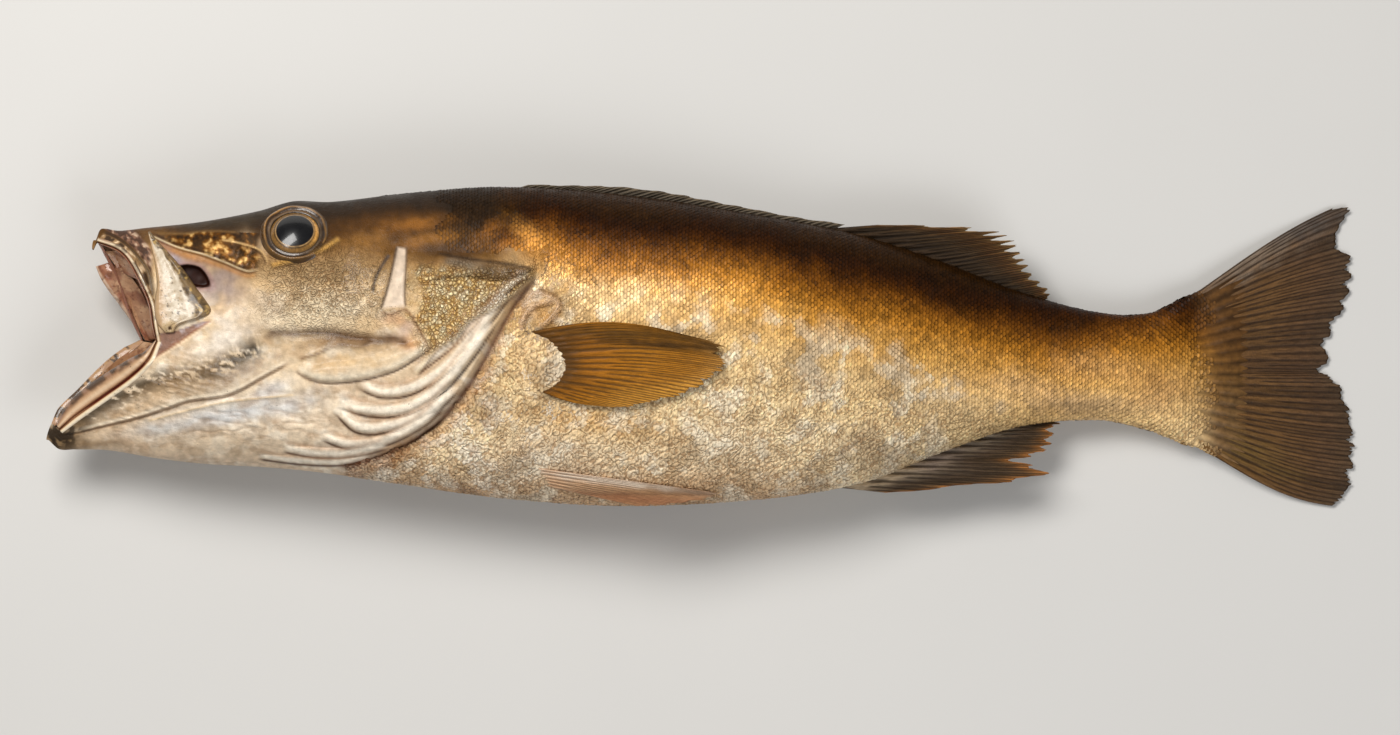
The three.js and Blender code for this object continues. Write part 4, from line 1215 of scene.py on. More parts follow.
def palate_paint(u, v):
    """Colour of a fold of the palate: a cream outer rim, brick red behind it, salmon with pale streaks
    inwards, and painted shade where it goes under the lip and towards its back end."""
    streak = clouds(v * 14, u * 34, 8, 231)
    rows = [
        [0, 206, 164, 132], [0.08, 232, 206, 178], [0.16, 186, 136, 108], [0.26, 150, 96, 74],
        [0.45, 168, 120, 94], [0.7, 156, 110, 86], [0.9, 112, 70, 52], [1, 84, 48, 36],
    ]
    return lay(
        tones(rows, v),
        ((212, 176, 138), 0.7 * smooth(streak, 0.52, 0.66)),
        ((104, 56, 40), 0.7 * smooth(0.44 - streak, 0, 0.12)),
        ((120, 78, 62), 0.5 * smooth(u, 0.5, 0.95)),
    )


def lining_points(rows=64, columns=44):
    """The wall of the mouth's hollow as two runs, over the roof and over the floor, from
    the left edge of the gape to the right one; both end closed at the throat."""
    front, back = MOUTH[0][0], MOUTH[-1][0]
    at = np.linspace(front, back, rows)
    runs = []
    for upper in (True, False):
        edges = (LEFT_UPPER_EDGE, ROOF_END) if upper else (LEFT_LOWER_EDGE, RIGHT_LOWER_EDGE)
        angles = []
        for edge in edges:
            _, corner = corner_share(edge, mouth_line)
            share = edge_shares(at, edge, mouth_line, corner)
            angles.append(np.arccos(np.clip(1 - 2 * share, -1, 1)))
        start, end = (angles[0], -angles[1]) if upper else (angles[0], 2 * np.pi - angles[1])
        turn = mix(start[:, None], end[:, None], even(columns))
        roof, floor, half = (v[:, None] for v in np.moveaxis(along(MOUTH, at), -1, 0))
        top_x, bottom_x, *_, middle, _ = section(at)
        share = (1 - np.cos(turn)) / 2
        x, y = mix(top_x[:, None], bottom_x[:, None], share), mix(roof, floor, share)
        wrinkle = 1.6 * (clouds(x * 0.6, y + 3 * turn, 5, 111) - 0.5)
        ridge = (0 if upper else 5) * bell(turn - np.pi, 0.5) * smooth(at[:, None], -330, -300)
        z = middle[:, None] + (half - wrinkle) * np.sin(turn)
        points = np.stack([x, y + ridge + wrinkle * np.cos(turn), z], -1)
        throat = np.broadcast_to(points[-1:].mean(1, keepdims=True), points[-1:].shape)
        runs.append(np.concatenate([points, throat]))
    return runs


# The plate of the upper jaw: its left and right edges from the snout down, as share, x, y.
PLATE_LEFT = [
    [0, -305.6, 62.3], [0.2, -303.2, 52.5], [0.4, -301.2, 43.4], [0.6, -300.2, 32.4],
    [0.75, -301.2, 25], [0.86, -301.3, 16.8], [0.94, -299.3, 11.2], [1, -295.4, 7],
]
PLATE_RIGHT = [
    [0, -304.4, 62.6], [0.1, -301, 58.3], [0.3, -292.8, 49.8], [0.5, -285.4, 41.5],
    [0.68, -279, 32.4], [0.8, -273.4, 25], [0.87, -270.2, 19.4], [0.92, -273.6, 16],
    [0.965, -287, 12.2], [1, -290.6, 7.2],
]
KNOB = (-292.6, 9.3)
PLATE_TOP = 58


def plate_points(side, rows=120, columns=56):
    """The plate of the upper jaw on one side: a thin shell between its two edges, domed
    across, with a raised border at its rear and a small dimple in its lower knob."""
    u, v = even(rows)[:, None], even(columns)[None, :]
    a, b = along(PLATE_LEFT, u), along(PLATE_RIGHT, u)
    x, y = mix(a[..., 0], b[..., 0], v), mix(a[..., 1], b[..., 1], v)
    base = height_at(x, np.minimum(y, PLATE_TOP), side, plain_forms)
    ends_off = smooth(u, -0.02, 0.06) * smooth(1.015 - u, 0, 0.05)
    dome = (1 - np.abs(2 * v - 1) ** 4) ** 0.5 * ends_off
    ridge = 0.9 * bell(v - 0.86, 0.1) * smooth(u, 0.1, 0.4) + 0.8 * bell(v - 0.07, 0.07)
    ridge = ridge - 0.7 * bell(v - 0.62, 0.1) * smooth(u, 0.2, 0.5)
    uneven = 0.9 * (clouds(x, y, 7, 131) - 0.5)
    dimple = 1.4 * bell(np.hypot(x - KNOB[0], y - KNOB[1]), 1.0)
    top = base + side * (0.4 + (2.6 + ridge + uneven) * dome - dimple)
    return two_faces(x, y, (top, base - side * 1.5), (0.2, 0.1)), u, v


def plate_paint(x, y, u, v):
    """Colour of the jaw plate: white bone, an olive and gold border at its rear, a tan front edge, brown
    flecks, a dark spot of painted shade in the dimple of its knob and a thin line of painted shade along both
    long edges."""
    u, v = np.broadcast_arrays(u, v)
    smear, knob = clouds(x, y, 4.5, 141), np.hypot(x - KNOB[0], y - KNOB[1])
    border = smooth(v + 0.22 * (smear - 0.5), 0.66, 0.76) * smooth(0.95 - u, 0, 0.05)
    foot = smooth(0.24 - u + 0.2 * (smear - 0.5), 0, 0.1) * smooth(v, 0.3, 0.5)
    border = np.maximum(border, foot)
    vein = bell(v - 0.45, 0.12) * smooth(u, 0.55, 0.65) * smooth(smear, 0.4, 0.6)
    return lay(
        np.broadcast_to(tint(214, 200, 178), (*u.shape, 3)),
        ((186, 148, 104), 0.85 * smooth(0.34 - v, 0, 0.25)),
        ((104, 78, 36), 0.92 * border),
        ((52, 40, 24), 0.8 * border * smooth(clouds(x, y, 2.6, 151), 0.48, 0.62)),
        ((206, 170, 100), 0.7 * border * smooth(0.38 - clouds(x, y, 2.2, 155), 0, 0.08)),
        ((176, 130, 66), 0.8 * vein),
        ((64, 52, 44), 0.8 * smooth(clouds(x, y, 2.2, 161), 0.69, 0.74) * (v > 0.1)),
        ((196, 170, 130), smooth(5.5 - knob, 0, 2)),
        # Painted shade in the dimple of the knob.
        ((70, 46, 28), smooth(1.3 - knob, 0, 0.6)),
        # Painted shade where the plate's edges meet the skin.
        ((120, 96, 60), 0.8 * np.maximum(bell(v, 0.03), bell(v - 1, 0.03))),
    )


# ---- Eyes ----


def eye_frame(side, depth):
    """The eye's middle and its axes: it looks out and up towards the back."""
    look = np.array([0, math.sin(EYE_TILT), side * math.cos(EYE_TILT)])
    x, y = (np.array([value]) for value in EYE_PLACE)
    place = np.array([x[0], y[0], height_at(x, y, side, plain_forms)[0]]) - depth * look
    across = np.array([1.0, 0, 0])
    return place, across, np.cross(look, across), look


def lathe(profile, side, depth, count):
    """Turns a profile of radius and height round the axis of an eye."""
    place, across, up, look = eye_frame(side, depth)
    turn = np.linspace(0, 2 * np.pi, count, endpoint=False)
    radius, height = profile[:, 0][:, None], profile[:, 1][:, None]
    ring = np.cos(turn)[:, None] * across + np.sin(turn)[:, None] * up
    return place + radius[..., None] * ring + height[..., None] * look, turn


def eyeball_points(side):
    """A ball flattened to a lens, with a steeper clear dome over the pupil."""
    fall = np.linspace(0, np.pi, 76)
    radius = EYE_RADIUS * np.sin(fall)
    height = EYE_DEPTH * np.cos(fall) + 0.9 * bell(radius, 8.5) * (fall < 1.6)
    profile = np.stack([np.maximum(radius, 1e-4), height], -1)
    points, turn = lathe(profile, side, EYE_DEPTH - EYE_PROUD, 128)
    points[..., 2] = np.maximum(points[..., 2], -0.5)
    return points, radius, turn


PUPIL = 10.2
# The darkest outer tones are painted shade where the ball goes under its ring.
IRIS_TONES = [
    [0, 8, 9, 13], [PUPIL - 0.2, 9, 10, 14], [PUPIL + 0.05, 96, 72, 42],
    [PUPIL + 0.3, 176, 140, 92], [PUPIL + 0.6, 60, 44, 24], [PUPIL + 1.4, 58, 42, 22],
    [12.6, 92, 66, 30], [13.3, 96, 70, 36], [13.9, 44, 34, 24], [14.6, 22, 19, 18], [16, 26, 22, 18],
]
# The near black at the end is painted shade on the inner wall where the ring meets the ball.
RIM_TONES = [
    [0, 84, 56, 24], [0.2, 92, 64, 30], [0.32, 150, 108, 52], [0.42, 96, 66, 32],
    [0.5, 52, 36, 20], [0.62, 70, 50, 32], [0.74, 104, 82, 58], [0.84, 52, 38, 24], [1, 18, 16, 15],
]


def eyeball_paint(radius, turn):
    """Black pupil, a thin gold ring, an olive iris with gold streaks, brighter on the rear and the lower
    side, a dark outer line that is painted shade where the ball goes under its ring, and a painted bluish
    reflection clouding the pupil."""
    r, t = np.broadcast_arrays(radius[:, None], turn[None, :])
    waver = r + 0.35 * (cloud(t * 40, r * 0, 9, 171) - 0.5)
    gold = bell(r - 12.0, 0.9) * (0.2 + 0.8 * unit(np.cos(t - 0.15)) ** 3)
    streak = cloud(t * 60, r * 1.4, 2.2, 181)
    u, v = r * np.cos(t), r * np.sin(t)
    # A bluish painted reflection clouding the pupil.
    pupil_reflection = smooth(clouds(u + 40, v + 40, 9, 187), 0.46, 0.6) * smooth(PUPIL - 1.5 - r, 0, 2)
    return lay(
        tones(IRIS_TONES, waver),
        ((226, 166, 84), 0.9 * unit(gold * (0.6 + streak))),
        ((58, 68, 78), 0.75 * pupil_reflection * smooth(3 - u, 0, 5)),
    )


RIM_PROFILE = np.array([
    [20.0, -3.0], [19.0, -1.6], [18.1, -0.6], [17.3, 0.0], [16.6, 0.1], [16.0, -0.2], [15.3, -0.45],
    [14.6, -0.35], [13.9, -0.2], [13.3, -0.6], [13.4, -2.0],
])


def rim_points(side):
    """The ring round the eye: two round ridges with a groove between, turned round its
    axis. Gives points and the share across the ring."""
    share, steps = even(34), even(len(RIM_PROFILE))
    profile = along(np.column_stack([steps, RIM_PROFILE]), share)
    points, turn = lathe(profile, side, 0.4, 120)
    across, up, look = eye_frame(side, 0)[1:]
    lump = cloud(np.cos(turn) * 14, np.sin(turn) * 14, 6, 195)
    uneven = (1.3 * (lump - 0.5) * bell(share[:, None] - 0.4, 0.3))[..., None]
    outward = np.cos(turn)[:, None] * across + np.sin(turn)[:, None] * up
    points = points + uneven * look + 0.8 * uneven * outward
    skin = height_at(points[..., 0], points[..., 1], side, plain_forms) - side * 0.25
    points[..., 2] = np.maximum(mix(skin, points[..., 2], smooth(share, 0.02, 0.34)[:, None]), 0)
    return points, share, turn


def rim_paint(share, turn):
    """Colour of the eye's ring: olive brown outside, gold on both ridges, dark groove, near black on its
    inner wall as painted shade, and lighter on the side towards the key light as painted light.
    """
    s, t = np.broadcast_arrays(share[:, None], turn[None, :])
    wave = 0.1 * (cloud(np.cos(t) * 30, np.sin(t) * 30, 9, 193) - 0.5)
    shade = 0.45 + 0.5 * cloud(np.cos(t) * 20, np.sin(t) * 20 + s * 9, 4, 191)
    # Painted light: the side of the ring towards the key light, up and towards the snout, is made lighter.
    shade = shade + 0.55 * unit(np.sin(t - 0.5))
    return unit(tones(RIM_TONES, s + wave) * shade[..., None])


# ---- Fins ----

# Each fin: its base line and its tips as share, x, y; the number of rays; the notches at
# the edge between rays; the ragged edge; thickness at base and tip; and, for its first
# and last ray, how far it bows and how far it arches.
Fin = namedtuple("Fin", "base tips rays notch ragged thick thin bow arch", defaults=[(0, 0)] * 2)
TAIL = Fin(
    [[0, 250, 15], [0.3, 254, 6], [0.7, 254, -30], [1, 252, -45]],
    [
        [0, 352, 78], [0.05, 359, 74.5], [0.1, 350, 58], [0.16, 359, 49], [0.3, 356, 25],
        [0.42, 346, 2], [0.47, 346.5, -9], [0.51, 341, -14], [0.56, 351, -18.5],
        [0.7, 360, -44], [0.82, 360, -62], [0.93, 358, -80], [1, 350, -89],
    ],
    rays=16, notch=0.02, ragged=0.035, thick=2.6, thin=0.9, bow=(0.1, 0.25),
)
SOFT_DORSAL = Fin(
    [[0, 62, 64], [1, 180, 22]],
    [
        [0, 102, 67], [0.12, 152, 65], [0.3, 169, 59.5], [0.45, 174, 54.5], [0.6, 178, 46.5],
        [0.75, 182, 38.5], [0.9, 190, 31], [1, 191, 26.5],
    ],
    rays=13, notch=0.13, ragged=0.05, thick=3, thin=1.1,
)
SPINY_DORSAL = Fin(
    [[0, -118, 82], [0.35, -60, 79], [0.7, 2, 70], [1, 62, 60]],
    [[0, -96, 88.7], [0.35, -36, 86.5], [0.7, 22, 76.2], [0.85, 52, 70.5], [1, 78, 67]],
    rays=11, notch=0.05, ragged=0.02, thick=6, thin=2.4,
)
ANAL = Fin(
    [[0, 71, -78], [0.25, 98, -68], [1, 180, -40]],
    [
        [0, 103, -81.5], [0.12, 152, -77], [0.2, 181, -74], [0.28, 191.5, -69],
        [0.38, 174, -63.5], [0.5, 187, -60], [0.68, 193, -52.5], [0.84, 193, -45], [1, 198.5, -43],
    ],
    rays=10, notch=0.1, ragged=0.05, thick=3, thin=1.1,
)
PECTORAL = Fin(
    [[0, -99, 6.5], [0.25, -87, 0], [0.55, -80, -11], [0.8, -83, -20], [1, -90, -25]],
    [
        [0, -4, 4], [0.1, 8, 1.2], [0.2, 12.6, -1.6], [0.32, 9, -5.5], [0.42, 14, -9.5],
        [0.6, 4, -19], [0.7, -10, -27], [0.8, -24, -30], [0.92, -44, -34], [1, -60, -33],
    ],
    rays=13, notch=0.03, ragged=0.06, thick=1.8, thin=0.8, arch=(7.5, -1.5),
)
RIGHT_PECTORAL = Fin(
    [[0, -96, -14], [1, -88, -36]],
    [[0, -4, -66], [0.3, -8, -74], [0.6, -22, -78], [1, -42, -76]],
    rays=8, notch=0.03, ragged=0.04, thick=1.4, thin=0.8,
)
PELVIC = Fin(
    [[0, -98, -66], [1, -88, -77]],
    [[0, 9, -81], [0.4, 2, -84.5], [0.75, -20, -87.5], [1, -36, -88.5]],
    rays=6, notch=0.03, ragged=0.04, thick=2.6, thin=1.2,
)


def ray_pattern(u, v, rays, seed):
    """The rays of a fin: each is a round ridge that splits in two and then in four towards
    its tip. Gives the height from 0 in the gaps to 1, a random number for each strand, and
    the height of the whole rays alone."""
    s = u * rays + 0.45 * (cloud(u * rays, 0 * u + 3, 1.4, seed) - 0.5)
    waves = [0.5 - 0.5 * np.cos(2 * np.pi * s * count) for count in (1, 2, 4)]
    early = 0.16 * (cloud(s, 0 * u, 1, seed + 1) - 0.5)
    first, again = smooth(v + early, 0.24, 0.36), smooth(v + early, 0.5, 0.66)
    height = mix(mix(waves[0], waves[1], first), waves[2], again) * (0.7 + 0.3 * waves[0] ** 0.5)
    number = dice(seed + 2, 512)[(np.floor(s * 4) % 512).astype(int)]
    return height ** 0.8, number, waves[0]


def fin_shell(fin, rows, columns, sheet, ridge, seed):
    """A fin as a thin closed shell. Across, the share u goes from its first ray to its
    last; along, v goes from base to tip. A place is the blend of base and tip by v, bowed
    by v sin(pi v) and arched by sin(pi v). The height is the sheet's own, with the rays
    raised on both faces. Gives points, faces and all that its colours need."""
    v, u = np.meshgrid(even(rows), even(columns), indexing="ij")
    base, tips = along(fin.base, u), along(fin.tips, u)
    height, number = ray_pattern(u, v, fin.rays, seed)[:2]
    edge, _, edge_whole = ray_pattern(u, np.ones_like(u), fin.rays, seed)
    torn = dice(seed + 5, 512)[(np.floor(u * fin.rays * 4) % 512).astype(int)]
    reached = v * (1 - fin.notch * (1 - edge_whole) - fin.ragged * torn * (1 - 0.6 * edge))
    hump = np.sin(np.pi * reached)
    x = mix(base[..., 0], tips[..., 0], reached)
    y = mix(base[..., 1], tips[..., 1], reached + mix(*fin.bow, u) * reached * hump)
    y = y + mix(*fin.arch, u) * hump
    level = sheet(x, y, u, v)
    thick = mix(fin.thick, fin.thin, smooth(v, 0, 0.6)) * (1 - 0.75 * smooth(v, 0.86, 1))
    rim = np.sqrt(np.clip(np.minimum(u, 1 - u) / 0.012, 0.02, 1))
    raised = thick / 2 * rim * (0.45 + ridge * height * smooth(v, -0.02, 0.12))
    points = two_faces(x, y, (level + raised, level - raised), (0.3, 0.05))
    return points, shell_faces(rows, columns), (u, v, x, y, height, number)


def fin_colours(facts, rows, gap, gap_share, strand_spread, patches=(), seed=0):
    """Colour of a fin: tones from base to tip, darker in the gaps between the rays, a tone
    of its own for each strand, and soft patches. Both faces have the same colours."""
    _, v, x, y, height, number = facts
    colour = tones(rows, v) * (1 + strand_spread * (number - 0.5))[..., None]
    colour = lay_patches(colour, x, y, patches, seed)
    colour = unit(lay(colour, (gap, gap_share * smooth(0.62 - height, 0, 0.5))))
    return np.stack([colour, colour])


TAIL_TONES = [
    [0, 120, 78, 38], [0.1, 112, 74, 36], [0.3, 104, 72, 38], [0.6, 96, 68, 38],
    [0.85, 84, 60, 38], [1, 78, 60, 42],
]
TAIL_PATCHES = [
    (300, 52, 44, 12, 32, (138, 122, 106), 0.8),
    (330, 66, 30, 7, 18, (84, 78, 74), 0.7),
    (290, -52, 44, 9, -30, (108, 84, 42), 0.7),
    (318, -10, 34, 8, 0, (72, 50, 32), 0.6),
    (275, -20, 16, 22, 0, (134, 92, 50), 0.6),
]
SOFT_DORSAL_TONES = [
    [0, 62, 42, 22], [0.3, 54, 40, 26], [0.6, 66, 48, 28], [0.9, 104, 72, 38], [1, 150, 116, 70],
]
SPINY_DORSAL_TONES = [[0, 56, 46, 34], [0.4, 74, 64, 52], [0.8, 92, 82, 68], [1, 112, 98, 78]]
ANAL_TONES = [
    [0, 168, 156, 136], [0.2, 124, 110, 92], [0.5, 74, 60, 46], [0.85, 92, 66, 40], [1, 160, 104, 50],
]
PECTORAL_TONES = [
    [0, 84, 54, 20], [0.06, 110, 70, 22], [0.2, 148, 92, 20], [0.5, 156, 100, 22],
    [0.85, 160, 106, 32], [1, 178, 126, 58],
]
PECTORAL_PATCHES = [
    (-97, 5, 9, 3, -12, (34, 24, 14), 0.9),
    (-40, 6, 56, 3.6, -3, (82, 56, 18), 0.8),
    (-20, 0, 36, 1.8, -4, (44, 30, 12), 0.85),
    (2, 0, 14, 3, -20, (70, 48, 20), 0.8),
    (-76, -8, 8, 14, 10, (78, 52, 22), 0.7),
    (-90, -24, 6, 2.5, 0, (60, 38, 18), 0.8),
    (-20, -26, 36, 6, 10, (206, 146, 56), 0.8),
]
PELVIC_PATCHES = [
    # Painted shade along the slit between the fin and the belly.
    (-45, -70.5, 60, 1.8, -8, (104, 62, 42), 0.9),
    (-50, -74.5, 50, 2.2, -7, (244, 226, 204), 0.9),
    (-40, -84, 50, 3, -5, (160, 110, 78), 0.8),
]
ANAL_PATCHES = [
    (102, -71, 24, 5, 20, (212, 186, 152), 0.85),
    # Purple-grey painted shade beside the front of the fin's base.
    (128, -62, 16, 5, 24, (126, 108, 100), 0.6),
]
PELVIC_TONES = [[0, 214, 176, 140], [0.3, 206, 166, 128], [0.7, 190, 148, 108], [1, 170, 128, 92]]


def flank_sheet(side, lifted):
    """Height of a fin that lies along the flank: it leaves the skin and lifts by degrees."""

    def sheet(x, y, u, v):
        return height_at(x, np.maximum(y, -82), side, plain_forms) + side * lifted(v)

    return sheet


def middle_sheet(low, high):
    """Height of a fin on the back or the belly: the middle of the body, drooping a little."""
    return lambda x, y, u, v: section(mix(low, high, u))[5] - 3 * v


def tail_sheet(x, y, u, v):
    """Height of the tail fin: from the body's middle down to the table."""
    return mix(10, 1.7, smooth(x, 262, 347))


def under_sheet(x, y, u, v):
    """Height of the fin under the fish, between the right flank and the table."""
    level = height_at(x, y, RIGHT, plain_forms) - 2.2 - 4 * smooth(-60 - y, 0, 15)
    return np.maximum(1.4, level)


# ---- Materials ----


class Net:
    """Adds nodes to a node tree and joins the sockets it is given."""

    def __init__(self, tree):
        self.tree = tree

    def add(self, kind, inputs=None, out=0, **settings):
        """A new node with its settings, its inputs linked or set. Gives one output."""
        node = self.tree.nodes.new(kind)
        for name, value in settings.items():
            setattr(node, name, value)
        for key, value in (inputs or {}).items():
            self.join(value, node.inputs[key])
        return node.outputs[out]

    def join(self, value, socket):
        """Links a socket to an input, or sets a plain value on it."""
        if isinstance(value, bpy.types.NodeSocket):
            self.tree.links.new(value, socket)
        else:
            socket.default_value = value

    def blend(self, share, a, b, kind="MIX"):
        """Mixes two colours."""
        return self.add("ShaderNodeMix", {0: share, 6: a, 7: b}, 2, data_type="RGBA", blend_type=kind)

    def math(self, kind, *values):
        """One sum on numbers."""
        return self.add("ShaderNodeMath", dict(enumerate(values)), operation=kind)

    def times(self, a, b):
        """The product of two numbers."""
        return self.math("MULTIPLY", a, b)

    def vector(self, kind, a, b):
        """One sum on vectors."""
        return self.add("ShaderNodeVectorMath", {0: a, 1: b}, operation=kind)

    def span(self, value, low, high, to_low=0.0, to_high=1.0):
        """Maps a range of numbers to another and keeps within it."""
        return self.add("ShaderNodeMapRange", {0: value, 1: low, 2: high, 3: to_low, 4: to_high})

    def noise(self, place, scale, detail=3.0, rough=0.55):
        """Soft noise at a place."""
        inputs = {"Vector": place, "Scale": scale, "Detail": detail, "Roughness": rough}
        return self.add("ShaderNodeTexNoise", inputs)

    def spots(self, place, scale, feature="F1"):
        """Distance to strewn points, or to the edges between their cells."""
        return self.add("ShaderNodeTexVoronoi", {"Vector": place, "Scale": scale}, feature=feature)


NUMBER, COLOUR, VECTOR = "NodeSocketFloat", "NodeSocketColor", "NodeSocketVector"


def make_group(name, inputs, outputs, build):
    """A node group with named sockets, built once."""
    group = bpy.data.node_groups.get(name)
    if group:
        return group
    group = bpy.data.node_groups.new(name, "ShaderNodeTree")
    for way, sockets in (("INPUT", inputs), ("OUTPUT", outputs)):
        for label, kind in sockets.items():
            group.interface.new_socket(name=label, in_out=way, socket_type=kind)
    net = Net(group)
    start, end = group.nodes.new("NodeGroupInput"), group.nodes.new("NodeGroupOutput")
    for label, value in build(net, *start.outputs[: len(inputs)]).items():
        net.join(value, end.inputs[label])
    return group


def build_flecks(net, place, fineness, colour, pigment, amount):
    """Small flecks of pigment: spots under a size that noise changes, strewn unevenly."""
    strewn = net.noise(place, net.times(fineness, 0.22))
    size = net.times(net.span(strewn, 0.42, 0.68, 0.0, 0.42), amount)
    mask = net.span(net.math("SUBTRACT", size, net.spots(place, fineness)), -0.04, 0.05)
    return {"Colour": net.blend(mask, colour, pigment)}


def build_mottling(net, place, fineness, low, high):
    """Two sizes of soft cloud between two values, for sheen that is wet here and dull there."""
    broad = net.noise(place, fineness, 2.0)
    fine = net.noise(place, net.times(fineness, 6.0))
    share = net.span(net.math("ADD", net.times(broad, 0.65), net.times(fine, 0.35)), 0.36, 0.64)
    return {"Value": net.math("MULTIPLY_ADD", share, net.math("SUBTRACT", high, low), low)}


def build_streaks(net, grain):
    """Long streaks along the rays of a fin, from noise on its own grain coordinates."""
    long = net.noise(net.vector("MULTIPLY", grain, (7.0, 0.8, 0.0)), 1.6, 4.0, 0.65)
    short = net.noise(net.vector("MULTIPLY", grain, (4.0, 9.0, 0.0)), 1.5, 2.0, 0.6)
    both = net.math("ADD", net.times(long, 0.7), net.times(short, 0.3))
    return {"Mask": net.span(both, 0.38, 0.62)}


def build_wrinkles(net, place, fineness):
    """Fine relief of wet skin: winding furrows where one noise crosses its middle, and soft
    noise between them, as a height."""
    winding = net.math("SUBTRACT", net.noise(place, fineness, 2.0), 0.5)
    furrow = net.span(net.math("ABSOLUTE", winding), 0.0, 0.09)
    soft = net.noise(place, net.times(fineness, 0.4), 4.0)
    return {"Height": net.math("MULTIPLY_ADD", furrow, 0.25, soft)}


def build_squiggles(net, place, fineness, colour, line, amount):
    """Winding ridges and furrows of slack wet skin: bands across a soft noise. Gives the
    colour darkened in the furrows, and the height."""
    wave = net.math("SINE", net.times(net.noise(place, fineness, 2.0, 0.5), 44.0))
    furrow = net.times(net.span(wave, -1.0, -0.25, 1.0, 0.0), amount)
    height = net.times(net.span(wave, -1.0, 1.0), amount)
    return {"Colour": net.blend(furrow, colour, line, "MULTIPLY"), "Height": height}


def build_pebbles(net, place, fineness, colour, line, amount):
    """Small rounded granules packed together: warped cells, dark along their edges, with
    the height of each above the gaps."""
    scale = net.times(fineness, 0.7)
    shove = net.add("ShaderNodeTexNoise", {"Vector": place, "Scale": scale}, 1)
    reach = net.math("DIVIDE", 0.9, fineness)
    moved = net.add("ShaderNodeVectorMath", {0: shove, "Scale": reach}, operation="SCALE")
    edge = net.spots(net.vector("ADD", place, moved), fineness, "DISTANCE_TO_EDGE")
    gap = net.times(net.span(edge, 0.02, 0.22, 1.0, 0.0), amount)
    height = net.times(net.span(edge, 0.0, 0.3), amount)
    return {"Colour": net.blend(gap, colour, line, "MULTIPLY"), "Height": height}


FINE = {"Place": VECTOR, "Fineness": NUMBER}
LINED = {**FINE, "Colour": COLOUR, "Line": COLOUR, "Amount": NUMBER}
FLECKED = {**FINE, "Colour": COLOUR, "Pigment": COLOUR, "Amount": NUMBER}
MOTTLED = {**FINE, "Low": NUMBER, "High": NUMBER}
# The shared effects: label, inputs, outputs and builder.
EFFECTS = {
    "pebbles": ("pebbled skin", LINED, {"Colour": COLOUR, "Height": NUMBER}, build_pebbles),
    "squiggles": ("squiggles", LINED, {"Colour": COLOUR, "Height": NUMBER}, build_squiggles),
    "flecks": ("pigment flecks", FLECKED, {"Colour": COLOUR}, build_flecks),
    "mottling": ("wet mottling", MOTTLED, {"Value": NUMBER}, build_mottling),
    "streaks": ("ray streaks", {"Grain": VECTOR}, {"Mask": NUMBER}, build_streaks),
    "wrinkles": ("skin relief", FINE, {"Height": NUMBER}, build_wrinkles),
}


class Finish(Net):
    """A new material with one principled shader, and the places its patterns read."""

    def __init__(self, name):
        self.material = bpy.data.materials.new(name)
        self.material.use_nodes = True
        super().__init__(self.material.node_tree)
        self.tree.nodes.clear()
        self.shader = self.tree.nodes.new("ShaderNodeBsdfPrincipled")
        output = self.tree.nodes.new("ShaderNodeOutputMaterial")
        self.tree.links.new(self.shader.outputs[0], output.inputs[0])
        self.place = self.add("ShaderNodeTexCoord", out="Object")

    def values(self, name, out="Color"):
        """Values kept at the points of the mesh."""
        return self.add("ShaderNodeAttribute", out=out, attribute_name=name)

    def parts(self, name):
        """The three numbers kept at the points of the mesh under a name."""
        node = self.tree.nodes.new("ShaderNodeSeparateColor")
        self.join(self.values(name), node.inputs[0])
        return node.outputs[:3]

    def effect(self, name, **inputs):
        """Places one of the shared effects. Gives its outputs."""
        node = self.tree.nodes.new("ShaderNodeGroup")
        node.node_tree = make_group(*EFFECTS[name])
        for key, value in inputs.items():
            self.join(value, node.inputs[key])
        return node.outputs

    def lined(self, name, fineness, colour, line, amount):
        """Pebbles or squiggles over a colour. Gives the colour and the height."""
        shades = {"Colour": colour, "Line": rgba(tint(*line)), "Amount": amount}
        return self.effect(name, Place=self.place, Fineness=fineness, **shades)[:2]

    def flecked(self, colour, fineness, pigment, amount):
        """A colour with flecks of pigment."""
        shades = {"Colour": colour, "Pigment": rgba(pigment), "Amount": amount}
        return self.effect("flecks", Place=self.place, Fineness=fineness, **shades)[0]

    def mottled(self, fineness, low, high):
        """A value that wanders between two."""
        return self.effect("mottling", Place=self.place, Fineness=fineness, Low=low, High=high)[0]

    def wrinkles(self, fineness):
        """The height of fine wrinkles."""
        return self.effect("wrinkles", Place=self.place, Fineness=fineness)[0]

    def stains(self, scale, low, high, to_low, to_high, detail=3.0, rough=0.55):
        """Soft noise, with a range of it mapped to another."""
        return self.span(self.noise(self.place, scale, detail, rough), low, high, to_low, to_high)

    def toned(self, colour, gain):
        """A colour made lighter or darker by a gain."""
        grey = self.add("ShaderNodeCombineColor", {0: gain, 1: gain, 2: gain})
        return self.blend(1.0, colour, grey, "MULTIPLY")

    def relief(self, height, strength, distance):
        """A bump that feeds the shader's normal."""
        inputs = {"Height": height, "Strength": strength, "Distance": distance}
        self.join(self.add("ShaderNodeBump", inputs, "Normal"), self.shader.inputs["Normal"])

    def set(self, **sockets):
        """Sets or links inputs of the shader, named with underscores for spaces."""
        for name, value in sockets.items():
            self.join(value, self.shader.inputs[name.replace("_", " ")])
        return self.material


def rgba(colour):
    """A colour with full opacity."""
    return (*colour, 1.0)


